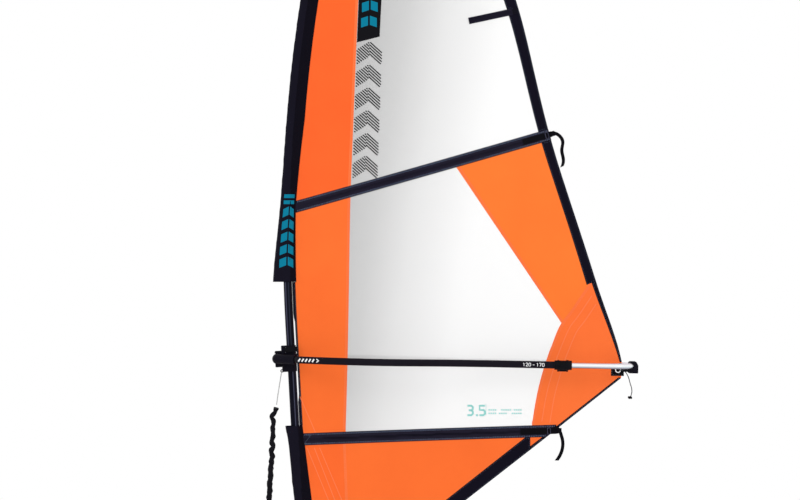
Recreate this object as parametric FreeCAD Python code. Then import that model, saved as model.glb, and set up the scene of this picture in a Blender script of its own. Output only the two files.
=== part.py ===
# Windsurf sail rig: mast, sleeve sail with battens, wishbone boom and mast base.
# Millimetres. Z is up, X runs aft from the luff to the clew, Y is across the sail.
# The origin is the middle of the mast base's underside, where its stud enters the board.
import FreeCAD
import Part
import math
import os

os.makedirs("parts", exist_ok=True)
Vector = FreeCAD.Vector
ORIGIN = Vector(0, 0, 0)
ALONG_X = Vector(1, 0, 0)
ALONG_Y = Vector(0, 1, 0)
ALONG_Z = Vector(0, 0, 1)

# ---- mast
LEAN = math.atan(0.0553)        # the mast foot leans forward by this angle
JOINT_Z = 62.0                  # height of the universal joint's centre
HEEL_Z = 190.0                  # bottom end of the mast
BEND_Z = 1430.0                 # the mast is straight below this height
BEND_R = 6800.0                 # radius of its bend above
SPLICE_Z = 2040.0               # where the two mast halves meet
TAPER_Z = 2140.0                # the upper half is parallel up to here
TIP_Z = 3856.0
MAST_R = 18.0
TIP_R = 9.0
MAST_WALL = 2.0
FERRULE_R = 15.8
FERRULE_WALL = 2.0
FERRULE_HALF = 96.0

# ---- sail cloth
CLOTH = 1.2                     # thickness of one panel
SLEEVE_WALL = 1.0
SLEEVE_HALF = 20.5              # half the sleeve's width across the mast
SLEEVE_UP = (1604.0, 3820.0)    # the sleeve above the boom cut-out
SLEEVE_LOW = (240.0, 985.0)     # the sleeve below it
SLEEVE_STEPS = 15
HEAD_Z = 3130.0                 # bottom of the head panel
DRAFT = 40.0                    # belly of the sail at the boom
DRAFT_EXTRA = 22.0              # more belly above the boom
SAIL_CHORD = 1450.0

# ---- boom
PIVOT = Vector(-125.0, 0, 1274.3)
BOOM_DROP = math.degrees(math.atan(30.0 / 1460.0))
ARM_R = 13.5
ARM_BORE = 12.0
TAIL_R = 11.95
TAIL_BORE = 10.3
GRIP_R = 15.2
TAIL_END = 1525.0               # middle of the tail bend, from the pivot
TAIL_START = 985.0              # inner ends of the tail legs
TAIL_BEND = 80.0                # radius of the tail bend
COLLAR = (1185.0, 1252.0)
COLLAR_R = 20.0
ARM_ROUTE = [(0, 44), (190, 142), (450, 194), (800, 80), (1252, 80)]

# ---- mast base
PLATE_R = 45.0
PIN_R = 3.0
STUD_R = 4.0
STUD_LENGTH = 15.0
EXTENSION_R = 15.95


def cylinder(radius, start, end):
    axis = end - start
    return Part.makeCylinder(radius, axis.Length, start, axis)


def tube(radius, bore, start, end):
    return cylinder(radius, start, end).cut(cylinder(bore, start, end))


def block(x, y, z):
    return Part.makeBox(x[1] - x[0], y[1] - y[0], z[1] - z[0], Vector(x[0], y[0], z[0]))


def fused(shapes):
    return shapes[0].multiFuse(shapes[1:]).removeSplitter()


def placed(shape, place, turn):
    moved = shape.copy()
    moved.rotate(ORIGIN, ALONG_Y, turn)
    moved.translate(place)
    return moved


def mirrored(shape):
    return shape.mirror(ORIGIN, ALONG_Y)


def save(name, shape):
    solids = shape.Solids
    body = solids[0] if len(solids) == 1 else Part.makeCompound(solids)
    body.exportStep("parts/" + name + ".step")
    volume = sum(solid.Volume for solid in solids)
    print(f"{name:22s} solids {len(solids)} valid {body.isValid()} volume {volume / 1000:9.2f} cm3")


# ---- the mast's line
def line_x(z):
    return -math.tan(LEAN) * (z - JOINT_Z)


BEND_CENTRE = Vector(line_x(BEND_Z) + BEND_R * math.cos(LEAN), 0, BEND_Z + BEND_R * math.sin(LEAN))


def mast_x(z):
    if z < BEND_Z:
        return line_x(z)
    return BEND_CENTRE.x - math.sqrt(BEND_R ** 2 - (z - BEND_CENTRE.z) ** 2)


def mast_point(z):
    return Vector(mast_x(z), 0, z)


def mast_direction(z):
    if z < BEND_Z:
        return Vector(-math.sin(LEAN), 0, math.cos(LEAN))
    outward = mast_point(z) - BEND_CENTRE
    return Vector(outward.z, 0, -outward.x).normalize()


def mast_radius(z):
    return MAST_R - (MAST_R - TIP_R) * max(0, z - TAPER_Z) / (TIP_Z - TAPER_Z)


def on_mast(shape, z):
    """Move a shape from the mast's own frame, where Z is the mast's axis, to height z."""
    return placed(shape, mast_point(z), -math.degrees(LEAN))


def on_boom(shape):
    """Move a shape from the boom's own frame, whose X is the boom's axis, to its place."""
    return placed(shape, PIVOT, BOOM_DROP)


def steps(low, high, count):
    return [low + (high - low) * i / count for i in range(count + 1)]


def mast_arc(low, high, radius):
    middle = (low + high) / 2
    arc = Part.Arc(mast_point(low), mast_point(middle), mast_point(high)).toShape()
    ring = Part.Wire(Part.Circle(mast_point(low), mast_direction(low), radius).toShape())
    return Part.Wire(arc).makePipeShell([ring], True, False)


def mast_taper(heights, inset):
    rings = []
    for z in heights:
        circle = Part.Circle(mast_point(z), mast_direction(z), mast_radius(z) - inset)
        rings.append(Part.Wire(circle.toShape()))
    return Part.makeLoft(rings, True, True)


def make_mast():
    foot = tube(MAST_R, MAST_R - MAST_WALL, mast_point(HEEL_Z), mast_point(BEND_Z))
    bent = mast_arc(BEND_Z, SPLICE_Z, MAST_R).cut(mast_arc(BEND_Z, SPLICE_Z, MAST_R - MAST_WALL))
    save("mast_lower", foot.fuse(bent))
    heights = steps(SPLICE_Z + 0.3, TAPER_Z, 4) + steps(TAPER_Z, TIP_Z, 14)[1:]
    save("mast_upper", mast_taper(heights, 0).cut(mast_taper(heights, MAST_WALL)))
    ends = (SPLICE_Z - FERRULE_HALF, SPLICE_Z + FERRULE_HALF)
    ferrule = mast_arc(ends[0], ends[1], FERRULE_R).cut(mast_arc(ends[0], ends[1], FERRULE_R - FERRULE_WALL))
    save("mast_ferrule", ferrule)


# ---- the sail's surface and the lines on it
def sail_y(x, z):
    chord = SAIL_CHORD * math.sqrt(1 - ((z - 1100) / 3100) ** 2)
    along = (x - mast_x(z)) / chord
    depth = DRAFT + DRAFT_EXTRA * math.exp(-((z - 2150) / 600) ** 2)
    return 4 * depth * along * (1 - along)


def sail_surface():
    rows = []
    for x in range(-150, 1451, 100):
        rows.append([Vector(x, sail_y(x, z), z) for z in range(50, 3951, 130)])
    surface = Part.BSplineSurface()
    surface.interpolate(rows)
    return surface.toShape()


SURFACE = sail_surface()


def slab(front, back):
    """A layer of the sail between two distances from its surface."""
    sheet = SURFACE.copy()
    sheet.translate(Vector(0, front, 0))
    return sheet.extrude(Vector(0, back - front, 0))


def region(*runs):
    """A closed outline in X and Z, as straight or curved runs, made into a prism along Y."""
    edges = []
    for kind, points in runs:
        places = [Vector(x, -300, z) for x, z in points]
        if kind == "curve":
            curve = Part.BSplineCurve()
            curve.interpolate(places)
            edges.append(curve.toShape())
        else:
            edges += [Part.LineSegment(a, b).toShape() for a, b in zip(places, places[1:])]
    return Part.Face(Part.Wire(edges)).extrude(Vector(0, 600, 0))


def blend_table(table, z):
    """Straight-line interpolation in a table of (height, value), ends held."""
    if z <= table[0][0]:
        return table[0][1]
    for (z0, v0), (z1, v1) in zip(table, table[1:]):
        if z <= z1:
            return v0 + (v1 - v0) * (z - z0) / (z1 - z0)
    return table[-1][1]


# distances from the mast's axis back to the sleeve's rear seam, and the slack at its front
REAR_UP = [(1604, 34), (1935, 34), (2300, 55), (2816, 57), (3820, 42)]
SLACK_UP = [(1604, 43), (1664, 38), (1724, 34), (1784, 26.5), (1844, 21), (1904, 14.5), (1965, 11),
            (2100, 5), (2200, 3.2), (3820, 3.2)]
REAR_LOW = [(240, 54), (668, 51), (791, 42), (894, 35), (985, 29)]
SLACK_LOW = [(240, 3.2), (667, 3.2), (750, 8), (894, 14), (952, 19), (985, 22)]
TAPE_BACK = 15.0                # from the mast's rear to the luff tape's rear edge
# the luff tape's width, less where the boom clamp slides
TAPE_WIDTHS = [(1094, 14.3), (1112, 9.5), (1436, 9.5), (1454, 14.3)]
TAPE_ENDS = (SLEEVE_LOW[1] + 0.5, SLEEVE_UP[0] - 0.5)
UP_STATIONS = steps(SLEEVE_UP[0], SLEEVE_UP[1], SLEEVE_STEPS)
LOW_STATIONS = steps(SLEEVE_LOW[0], SLEEVE_LOW[1], 6)

LEECH_OUT = [(330, 3820), (560, 3500), (755, 3170), (914, 2773), (970, 2549), (1048, 2229), (1132, 1956),
             (1244, 1607)]
LEECH_IN = [(285, 3820), (510, 3480), (706, 3150), (863, 2773), (1000, 2240), (1090, 1956), (1204, 1591)]
LEECH_LOW_OUT = [(1244, 1607), (1260, 1557), (1306, 1426), (1354, 1260)]
LEECH_LOW_IN = [(1225, 1600), (1241, 1553), (1290, 1422), (1345, 1258)]
WINDOW_FRONT = [(238, 3130), (220, 2816), (199, 2300), (186, 1956), (179, 1526), (172, 1182), (166, 967)]
FOOT_SEAM = [(166, 967), (175, 667), (186, 200)]
LEECH_PANEL = [(640, 2104), (1096, 1426)]
CLEW_ARC = [(1224, 1610), (1179, 1545), (1135, 1479), (1096, 1426), (1056, 1334), (1032, 1268), (995, 1137),
            (973, 1014), (962, 930)]
FOOT_CORNER = (962, 879)        # the foot's kink behind the lower full batten
FOOT_BEND = (1084, 976)         # where the lower full batten meets the foot
CLEW_LOW = (1351, 1190)
CLEW_HIGH = (1354, 1260)
TACK = (54, 169)
BATTENS = {
    "1": ((697, 2730), (884, 2769), 28),
    "2": ((-80, 1917.5), (1046, 2239), 49),
    "3": ((-60, 925), (1074, 962), 52),
}


POCKET_TAIL = 27.0              # width of the lower pocket where it runs past the foot
END_CAP = (0.4, 22.4, 22.0)     # a batten's end cap: from the pocket's end, to, and its width


def strip(start, end, width, before=0.0, after=0.0):
    """A straight strip in the sail's plane, as a prism."""
    first = Vector(start[0], 0, start[1])
    last = Vector(end[0], 0, end[1])
    run = (last - first).normalize()
    side = Vector(-run.z, 0, run.x) * (width / 2)
    first = first - run * before
    last = last + run * after
    corners = [first + side, last + side, last - side, first - side, first + side]
    return region(("line", [(p.x, p.z) for p in corners]))


def cap_area(start, end):
    near, far, width = END_CAP
    run = Vector(end[0] - start[0], 0, end[1] - start[1]).normalize()
    tip = (end[0] + run.x * near, end[1] + run.z * near)
    return strip(tip, (end[0] + run.x * far, end[1] + run.z * far), width)


def luff_line():
    low = [(mast_x(z) + blend_table(REAR_LOW, z), z) for z in LOW_STATIONS]
    gap = [(mast_x(z) + MAST_R + TAPE_BACK, z) for z in steps(TAPE_ENDS[0], TAPE_ENDS[1], 6)]
    high = [(mast_x(z) + blend_table(REAR_UP, z), z) for z in UP_STATIONS]
    return low, gap, high


def make_sail():
    low, gap, high = luff_line()
    outline = region(
        ("line", [TACK] + low + gap + high + [LEECH_OUT[0]]),
        ("curve", LEECH_OUT),
        ("curve", LEECH_LOW_OUT),
        ("line", [CLEW_HIGH, CLEW_LOW, FOOT_BEND, FOOT_CORNER, TACK]),
    )
    leech_area = region(
        ("curve", LEECH_OUT), ("line", [LEECH_OUT[-1], LEECH_IN[-1]]),
        ("curve", LEECH_IN[::-1]), ("line", [LEECH_IN[0], LEECH_OUT[0]]))
    leech_tape_area = region(
        ("curve", LEECH_LOW_OUT), ("line", [LEECH_LOW_OUT[-1], LEECH_LOW_IN[-1]]),
        ("curve", LEECH_LOW_IN[::-1]), ("line", [LEECH_LOW_IN[0], LEECH_LOW_OUT[0]]))
    foot_band_area = region(("line", [
        FOOT_CORNER, (962, 950), (928, 923), (604, 667), (95, 264), TACK, FOOT_CORNER]))
    foot_tape_area = region(("line", [
        CLEW_LOW, FOOT_BEND, FOOT_CORNER, (962, 895), (1078, 984), (1341, 1194), CLEW_LOW]))
    tape_heights = steps(TAPE_ENDS[0], TAPE_ENDS[1], 36)
    tape_front = [(mast_x(z) + MAST_R + TAPE_BACK - blend_table(TAPE_WIDTHS, z), z) for z in tape_heights]
    luff_tape_area = region(("line", gap + tape_front[::-1] + [gap[0]]))
    clew_web_area = region(("line", [
        (1308, 1199), (1363, 1199), (1363, 1243), (1350, 1256), (1308, 1244), (1308, 1199)]))
    pockets = {name: strip(*line) for name, line in BATTENS.items()}
    past_foot = region(("line", [FOOT_CORNER, FOOT_BEND, (1140, 984), (1140, 887), FOOT_CORNER]))
    past_foot = past_foot.cut(strip(BATTENS["3"][0], BATTENS["3"][1], POCKET_TAIL))
    pockets["3"] = pockets["3"].cut(past_foot)
    tack_area = region(("line", [(54, 240), TACK, (122, 223), (95, 264), (95, 300), (52, 300), (54, 240)]))

    cap_areas = [cap_area(start, end) for start, end, width in BATTENS.values()]

    # edge bands, a little thicker than the cloth that they bind
    pocket_set = list(pockets.values())
    band = slab(-0.7, CLOTH + 0.7)
    save("leech_band", band.common(leech_area).cut(pocket_set + cap_areas))
    foot_band = band.common(foot_band_area).cut([pockets["3"], tack_area])
    save("foot_band", foot_band)
    tapes = [band.common(leech_tape_area).cut([leech_area, clew_web_area])]
    foot_tape = band.common(foot_tape_area)
    tapes.append(foot_tape.cut([foot_band_area, pockets["3"], clew_web_area] + cap_areas))
    tapes.append(band.common(luff_tape_area))
    save("edge_tapes", Part.makeCompound([solid for tape in tapes for solid in tape.Solids]))
    save("tack_webbing", slab(-1.8, CLOTH + 1.8).common(tack_area))

    # batten pockets, the battens inside them and the end caps at the leech
    ahead = region(("line", low + gap + high + [(262, 3900), (1600, 3900), (1600, 100), low[0]]))
    battens = []
    for name, (start, end, width) in BATTENS.items():
        depth = 3.4 if name == "1" else 4.4
        outer = slab(-depth, depth).common(pockets[name]).common(ahead)
        hollow = slab(-2.4, 2.4).common(strip(start, end, 21, after=5)).common(ahead)
        save("batten_pocket_" + name, outer.cut(hollow))
        trimmed = slab(-2.0, 2.0).common(strip(start, end, 18, after=-12)).common(ahead)
        battens.append(trimmed)
    save("battens", Part.makeCompound([solid for batten in battens for solid in batten.Solids]))
    caps = [slab(-5, 5).common(area) for area in cap_areas]
    save("batten_caps", Part.makeCompound([solid for cap in caps for solid in cap.Solids]))

    # the panels: what the bands, tapes, pockets and webbing leave
    taken = [leech_area, leech_tape_area, foot_band_area, foot_tape_area, luff_tape_area, clew_web_area,
             tack_area] + pocket_set + cap_areas
    cloth = slab(0, CLOTH).common(outline).cut(taken)
    above_head = region(("line", [(0, HEAD_Z), (1600, HEAD_Z), (1600, 3990), (0, 3990), (0, HEAD_Z)]))
    top_area = region(("line", [(-200, 1883), (1200, 2271), (1200, 3990), (-200, 3990), (-200, 1883)]))
    foot_area = region(("line", [(-200, 917), (1300, 975), (1300, 60), (-200, 60), (-200, 917)]))
    front_area = region(
        ("curve", WINDOW_FRONT), ("curve", FOOT_SEAM),
        ("line", [FOOT_SEAM[-1], (186, 60), (-300, 60), (-300, 3300), (238, 3300), WINDOW_FRONT[0]]))
    clew_area = region(
        ("curve", CLEW_ARC), ("line", [CLEW_ARC[-1], (1600, 930), (1600, 1610), CLEW_ARC[0]]))
    leech_panel_area = region(("line", [
        LEECH_PANEL[0], LEECH_PANEL[1], (1600, 1426), (1600, 2372), LEECH_PANEL[0]]))
    top = cloth.common(top_area)
    foot = cloth.common(foot_area)
    middle = cloth.cut([top_area, foot_area])
    save("head_panel", top.common(above_head))
    save("luff_panel_top", top.common(front_area).cut(above_head))
    save("window_upper", top.cut([front_area, above_head]))
    save("luff_panel_middle", middle.common(front_area))
    aft = middle.Solids[0].cut(front_area)
    save("clew_panel", aft.common(clew_area))
    aft = aft.cut(clew_area)
    save("leech_panel", aft.common(leech_panel_area))
    save("window_lower", aft.cut(leech_panel_area))
    save("foot_panel_front", foot.common(front_area))
    save("foot_panel_aft", foot.cut(front_area))
    make_clew(clew_web_area)
    make_straps()


CLEW = Vector(1338.0, sail_y(1338.0, 1225.0), 1225.0)


def make_clew(area):
    hole = cylinder(13.1, CLEW - ALONG_Y * 20, CLEW + ALONG_Y * 20)
    save("clew_webbing", slab(-2.2, 3.4).common(area).cut(hole))
    ring = tube(13.0, 8.0, CLEW - ALONG_Y * 4, CLEW + ALONG_Y * 4)
    save("clew_ring", ring.makeChamfer(1.2, [edge for edge in ring.Edges if len(edge.Vertexes) == 1]))


def strap_area(points):
    """A strap of even width along a bent line, with a slanted end, as a prism."""
    left = []
    right = []
    for i, (x, z) in enumerate(points):
        before = points[max(i - 1, 0)]
        after = points[min(i + 1, len(points) - 1)]
        run = Vector(after[0] - before[0], 0, after[1] - before[1]).normalize()
        left.append((x - run.z * STRAP_WIDTH / 2, z + run.x * STRAP_WIDTH / 2))
        right.append((x + run.z * STRAP_WIDTH / 2, z - run.x * STRAP_WIDTH / 2))
    right[-1] = (right[-1][0] + run.x * STRAP_SLANT, right[-1][1] + run.z * STRAP_SLANT)
    return region(("curve", left), ("line", [left[-1], right[-1]]), ("curve", right[::-1]),
                  ("line", [right[0], left[0]]))


STRAP_WIDTH = 14.5
STRAP_SLANT = 9.0
UPPER_STRAP = [(1046, 2243), (1068, 2244), (1088, 2232), (1101, 2208), (1097, 2172), (1103, 2137),
               (1098, 2104)]
LOWER_STRAP = [(1064, 978), (1082, 970), (1093, 948), (1101, 915), (1099, 884), (1090, 858), (1077, 838)]


def make_straps():
    straps = []
    for points in (UPPER_STRAP, LOWER_STRAP):
        straps.append(slab(-9, -6.5).common(strap_area(points)))
    save("batten_straps", Part.makeCompound([solid for strap in straps for solid in strap.Solids]))


def sleeve_ring(z, rear_table, slack_table, inset):
    """One level outline of the sleeve round the mast, narrowing to its rear seam."""
    centre = mast_x(z)
    radius = mast_radius(z)
    half = SLEEVE_HALF - (MAST_R - radius) - inset
    front = centre - radius - blend_table(slack_table, z) + inset
    hold = centre + 0.67 * radius
    rear = centre + blend_table(rear_table, z) - 0.4 - 3 * inset
    lip = 1.6 - inset
    seam = sail_y(rear, z) + CLOTH / 2
    nose = Vector(front + half, 0, z)
    left = Vector(nose.x, -half, z)
    right = Vector(nose.x, half, z)
    corners = [right, Vector(hold, half, z), Vector(rear, seam + lip, z), Vector(rear, seam - lip, z),
               Vector(hold, -half, z), left]
    edges = [Part.Arc(left, Vector(front, 0, z), right).toShape()]
    edges += [Part.LineSegment(a, b).toShape() for a, b in zip(corners, corners[1:])]
    return Part.Wire(edges)


def make_sleeve(name, stations, rear_table, slack_table):
    outer = Part.makeLoft([sleeve_ring(z, rear_table, slack_table, 0) for z in stations], True, True)
    inner = [sleeve_ring(z, rear_table, slack_table, SLEEVE_WALL) for z in stations]
    save(name, outer.cut(Part.makeLoft(inner, True, True)))


CAP_R = 13.5                    # the mast's head cap
CAP_RISE = 12.0
CAP_SKIRT = 28.0
CAP_PLUG_R = 6.6


def make_head():
    top = mast_point(TIP_Z) + mast_direction(TIP_Z) * CAP_RISE
    foot = mast_point(TIP_Z - CAP_SKIRT)
    mast_end = mast_taper(steps(TIP_Z - CAP_SKIRT - 12, TIP_Z, 2), -0.2)
    plug = cylinder(CAP_PLUG_R, mast_point(TIP_Z - CAP_SKIRT + 2), top - mast_direction(TIP_Z) * 4)
    save("mast_head_cap", cylinder(CAP_R, foot, top).cut(mast_end).fuse(plug))


# ---- boom head, in the mast's own frame about the boom's height
KNUCKLE = Vector(-57.86, 0, 3.2)    # the pin that the boom turns on
KNUCKLE_R = 13.0
KNUCKLE_HALF = 14.5
CHEEK_R = 23.0                  # the boom yoke's two round cheeks
HINGE_R = 4.0
HEAD_FRONT = 41.0               # from the mast's axis to the head's front
HEAD_HALF = 27.0
HEAD_SPAN = (-55.0, 57.0)       # bottom and top of the head
JAW_R = 22.1
LEVER_AXIS = (-20.0, -32.5)
LEVER_PIN_R = 2.5
LEVER_BARREL_R = 5.0
LEVER_SPAN = (24.3, 57.0)
LEVER_EAR = 5.0                 # thickness of the two ears that hold the lever's pin
HORN_SPAN = (-34.0, 36.0)       # bottom and top of the two horns before the head
HORN_TIP = -70.0
HORN_HALF = 12.0
UPHAUL_EYE = Vector(-43, 0, -51)


def make_boom_head():
    z = PIVOT.z
    bottom, top = HEAD_SPAN
    body = block((-HEAD_FRONT, 0), (-HEAD_HALF, HEAD_HALF), HEAD_SPAN)
    upright = [edge for edge in body.Edges if abs(edge.tangentAt(0).z) > 0.9 and edge.CenterOfMass.x < -20]
    body = body.makeFillet(9, upright)
    horns = block((HORN_TIP, 0), (-HORN_HALF, HORN_HALF), HORN_SPAN)
    horns = horns.makeFillet(4, [edge for edge in horns.Edges if abs(edge.CenterOfMass.x - HORN_TIP) < 0.1])
    body = body.fuse(horns)
    body = body.cut(cylinder(CHEEK_R + 1.2, KNUCKLE - ALONG_Y * 60, KNUCKLE + ALONG_Y * 60))
    neck_heights = (KNUCKLE.z - KNUCKLE_R, KNUCKLE.z + KNUCKLE_R)
    neck = block((KNUCKLE.x, -36), (-KNUCKLE_HALF, KNUCKLE_HALF), neck_heights)
    round_end = cylinder(KNUCKLE_R, KNUCKLE - ALONG_Y * KNUCKLE_HALF, KNUCKLE + ALONG_Y * KNUCKLE_HALF)
    ears = []
    for low in (LEVER_SPAN[0], LEVER_SPAN[1] - LEVER_EAR):
        ears.append(block((-28, -12), (-38, -24), (low, low + LEVER_EAR)))
    eye = cylinder(7, UPHAUL_EYE - ALONG_Y * 5, UPHAUL_EYE + ALONG_Y * 5)
    body = fused([body, neck, round_end, eye] + ears)
    body = body.cut(cylinder(JAW_R - 1.6, ALONG_Z * -80, ALONG_Z * 80))
    body = body.cut(cylinder(HINGE_R + 0.05, KNUCKLE - ALONG_Y * 40, KNUCKLE + ALONG_Y * 40))
    body = body.cut(cylinder(3.2, UPHAUL_EYE - ALONG_Y * 9, UPHAUL_EYE + ALONG_Y * 9))
    lever_start = Vector(LEVER_AXIS[0], LEVER_AXIS[1], LEVER_SPAN[0])
    lever_end = Vector(LEVER_AXIS[0], LEVER_AXIS[1], LEVER_SPAN[1])
    body = body.cut(cylinder(LEVER_PIN_R + 0.05, lever_start - ALONG_Z, lever_end + ALONG_Z))
    save("clamp_body", on_mast(body, z))

    front = block((-30, -0.1), (-30, 30), (-60, 60))
    liner = tube(JAW_R - 1.7, MAST_R + 0.05, ALONG_Z * bottom, ALONG_Z * top).common(front)
    save("clamp_liner", on_mast(liner, z))

    rear = block((0.3, 30), (-30, 30), HEAD_SPAN)
    jaw = cylinder(JAW_R, ALONG_Z * bottom, ALONG_Z * top).common(rear)
    flange = block((0.3, 7), (-HEAD_HALF, HEAD_HALF), HEAD_SPAN)
    jaw = fused([jaw, flange]).cut(cylinder(MAST_R + 0.05, ALONG_Z * -80, ALONG_Z * 80))
    save("clamp_jaw", on_mast(jaw, z))

    hinge = cylinder(HINGE_R, KNUCKLE - ALONG_Y * 33, KNUCKLE + ALONG_Y * 33)
    lever_pin = cylinder(LEVER_PIN_R, lever_start, lever_end)
    save("clamp_pins", Part.makeCompound([on_mast(hinge, z), on_mast(lever_pin, z)]))

    inset = LEVER_EAR + 0.6
    barrel = cylinder(LEVER_BARREL_R, lever_start + ALONG_Z * inset, lever_end - ALONG_Z * inset)
    handle_span = (lever_start.z + inset, lever_end.z - inset)
    handle = block((-20, 26), (-36, -32), handle_span)
    tip = cylinder(5, Vector(25, -33.5, handle_span[0]), Vector(25, -33.5, handle_span[1]))
    lever = fused([barrel, handle, tip])
    lever = lever.cut(cylinder(LEVER_PIN_R + 0.06, lever_start - ALONG_Z, lever_end + ALONG_Z))
    save("clamp_lever", on_mast(lever, z))


# ---- routes of tubes and cords: straight runs joined by tangent arcs
def route(points):
    edges = []
    radii = []
    start = points[0]
    for before, corner, after in zip(points, points[1:], points[2:]):
        back = before - corner
        ahead = after - corner
        half_turn = (math.pi - back.getAngle(ahead)) / 2
        trim = 0.45 * min(back.Length, ahead.Length)
        radius = trim / math.tan(half_turn)
        back.normalize()
        ahead.normalize()
        inward = (back + ahead).normalize()
        first = corner + back * trim
        last = corner + ahead * trim
        middle = corner + inward * (radius / math.cos(half_turn) - radius)
        edges.append(Part.LineSegment(start, first).toShape())
        edges.append(Part.Arc(first, middle, last).toShape())
        radii.append(radius)
        start = last
    edges.append(Part.LineSegment(start, points[-1]).toShape())
    return Part.Wire(edges), radii


def swept(points, radius):
    path, radii = route(points)
    ring = Part.Wire(Part.Circle(points[0], points[1] - points[0], radius).toShape())
    return path.makePipeShell([ring], True, False)


def cord(name, places, radius):
    points = [Vector(x, y, z) for x, y, z in places]
    path, radii = route(points)
    solid = swept(points, radius)
    expected = math.pi * radius ** 2 * path.Length
    print(name, "length", round(path.Length, 1), "volume ratio", round(solid.Volume / expected, 4),
          "radii", [round(r) for r in radii])
    save(name, solid)


def both_sides(shape):
    return Part.makeCompound([on_boom(shape), on_boom(mirrored(shape))])


# ---- boom, in its own frame: X along the boom from the hinge pin, Y across
ARM_GAP = 80.0                  # from the boom's middle to an arm's rear end
GRIP_SPAN = (86.0, 1184.7)
SOCKET_R = 20.0                 # the yoke's sockets for the arms
SOCKET_DEPTH = 88.0
LATCH_X = 1219.0
LATCH_R = 5.0
LATCH_OUTER_R = 6.2
PEG_R = 2.2
CLIP_SPAN = (1204.0, 1234.0)
CLIP_WALL = (20.5, 23.4)        # inner and outer radius of a clip's shell
CLIP_BARREL_R = 3.4
CLIP_PIN_R = 1.5
CLIP_HINGE = Vector(0, ARM_GAP + 6, -23.5)
LUGS = ((1196.0, 1203.0), (1235.0, 1242.0))
COLLAR_NOSE_R = 16.5
COLLAR_SHOULDER_R = 23.4
COLLAR_HEEL_R = 18.5


def make_boom():
    arm_points = [Vector(x, y, 0) for x, y in ARM_ROUTE]
    heading = (arm_points[1] - arm_points[0]).normalize()
    arm = swept(arm_points, ARM_R).cut(swept(arm_points, ARM_BORE))
    latch = cylinder(LATCH_R, Vector(LATCH_X, ARM_GAP, 0), Vector(LATCH_X, ARM_GAP + 30, 0))
    save("boom_arms", both_sides(arm.cut(latch)))
    grip = swept(arm_points, GRIP_R).cut(swept(arm_points, ARM_R + 0.05))
    save("boom_grips", both_sides(grip.common(block(GRIP_SPAN, (0, 300), (-30, 30)))))

    yoke = cylinder(CHEEK_R, ALONG_Y * -32, ALONG_Y * 32)
    yoke = yoke.cut(block((-14.5, 40), (-15.3, 15.3), (-40, 40)))
    sockets = []
    bores = []
    for side in (1, -1):
        mouth = Vector(arm_points[0].x, side * arm_points[0].y, 0)
        way = Vector(heading.x, side * heading.y, 0)
        sockets.append(Part.makeSphere(SOCKET_R, mouth))
        sockets.append(cylinder(SOCKET_R, mouth, mouth + way * SOCKET_DEPTH))
        sockets.append(block((-16, 12), sorted((side * 24, side * 44)), (-15, 15)))
        bores.append(cylinder(ARM_R + 0.05, mouth, mouth + way * (SOCKET_DEPTH + 12)))
    yoke = fused([yoke] + sockets).cut(bores)
    save("boom_yoke", on_boom(yoke.cut(cylinder(HINGE_R + 0.05, ALONG_Y * -40, ALONG_Y * 40))))
    make_collars()
    make_tail()


def make_collars():
    low = Vector(COLLAR[0], ARM_GAP, 0)
    high = Vector(COLLAR[1] + 6, ARM_GAP, 0)
    socket_end = Vector(COLLAR[1] + 0.3, ARM_GAP, 0)
    shoulder = Vector(LUGS[1][0], ARM_GAP, 0)
    nose = Part.makeCone(COLLAR_NOSE_R, COLLAR_SHOULDER_R, LUGS[0][1] - COLLAR[0], low, ALONG_X)
    back = Part.makeCone(COLLAR_SHOULDER_R, COLLAR_HEEL_R, high.x - shoulder.x, shoulder, ALONG_X)
    lug_sides = (CLIP_HINGE.y - 4, CLIP_HINGE.y + 4)
    lugs = [block(span, lug_sides, (CLIP_HINGE.z - 4, -16)) for span in LUGS]
    collar = fused([cylinder(COLLAR_R, low, high), nose, back] + lugs)
    latch = cylinder(LATCH_OUTER_R, Vector(LATCH_X, ARM_GAP + 5, 0), Vector(LATCH_X, ARM_GAP + 30, 0))
    collar = collar.cut([cylinder(ARM_BORE, low, high), cylinder(ARM_R + 0.05, low, socket_end), latch])
    pin_low = CLIP_HINGE + ALONG_X * LUGS[0][0]
    pin_high = CLIP_HINGE + ALONG_X * LUGS[1][1]
    save("boom_collars", both_sides(collar.fuse(cylinder(CLIP_PIN_R, pin_low, pin_high))))

    shell_low = Vector(CLIP_SPAN[0], ARM_GAP, 0)
    shell_high = Vector(CLIP_SPAN[1], ARM_GAP, 0)
    shell = tube(CLIP_WALL[1], CLIP_WALL[0], shell_low, shell_high)
    shell = shell.common(block((1200, 1240), (ARM_GAP + 7.5, 120), (-30, 17)))
    barrel_low = CLIP_HINGE + ALONG_X * CLIP_SPAN[0]
    barrel = cylinder(CLIP_BARREL_R, barrel_low, CLIP_HINGE + ALONG_X * CLIP_SPAN[1])
    peg_low = Vector(LATCH_X, ARM_GAP + ARM_BORE + 1, 0)
    peg_high = Vector(LATCH_X, ARM_GAP + COLLAR_R + 1, 0)
    clip = fused([shell, barrel, cylinder(PEG_R, peg_low, peg_high)])
    clip = clip.cut(cylinder(CLIP_PIN_R + 0.05, pin_low, pin_high))
    save("clip_starboard", on_boom(clip))
    save("clip_port", on_boom(mirrored(clip)))


SHEAVE_X = 1519.0
SHEAVE_Y = 15.0
SHEAVE_Z = -20.0
SHEAVE_HALF = 3.0               # half of every pulley wheel's thickness
SHEAVE_R = 9.5
SHEAVE_ROOT_R = 7.6
SHEAVE_PIN_R = 2.0
FITTING = (1509.0, 1547.0)      # front and rear of the tail fitting
FITTING_HALF = 40.0
FITTING_HEIGHTS = (-31.0, 19.0)
CLEAT_SPAN = (1483.0, 1508.7)
CLEAT_SIDES = (-40.0, -28.5)
CLEAT_HEIGHTS = (-25.0, -12.0)
CLEAT_HOLE = Vector(1475, -34, -24.8)
CLEAT_HOLE_R = 2.9


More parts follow.
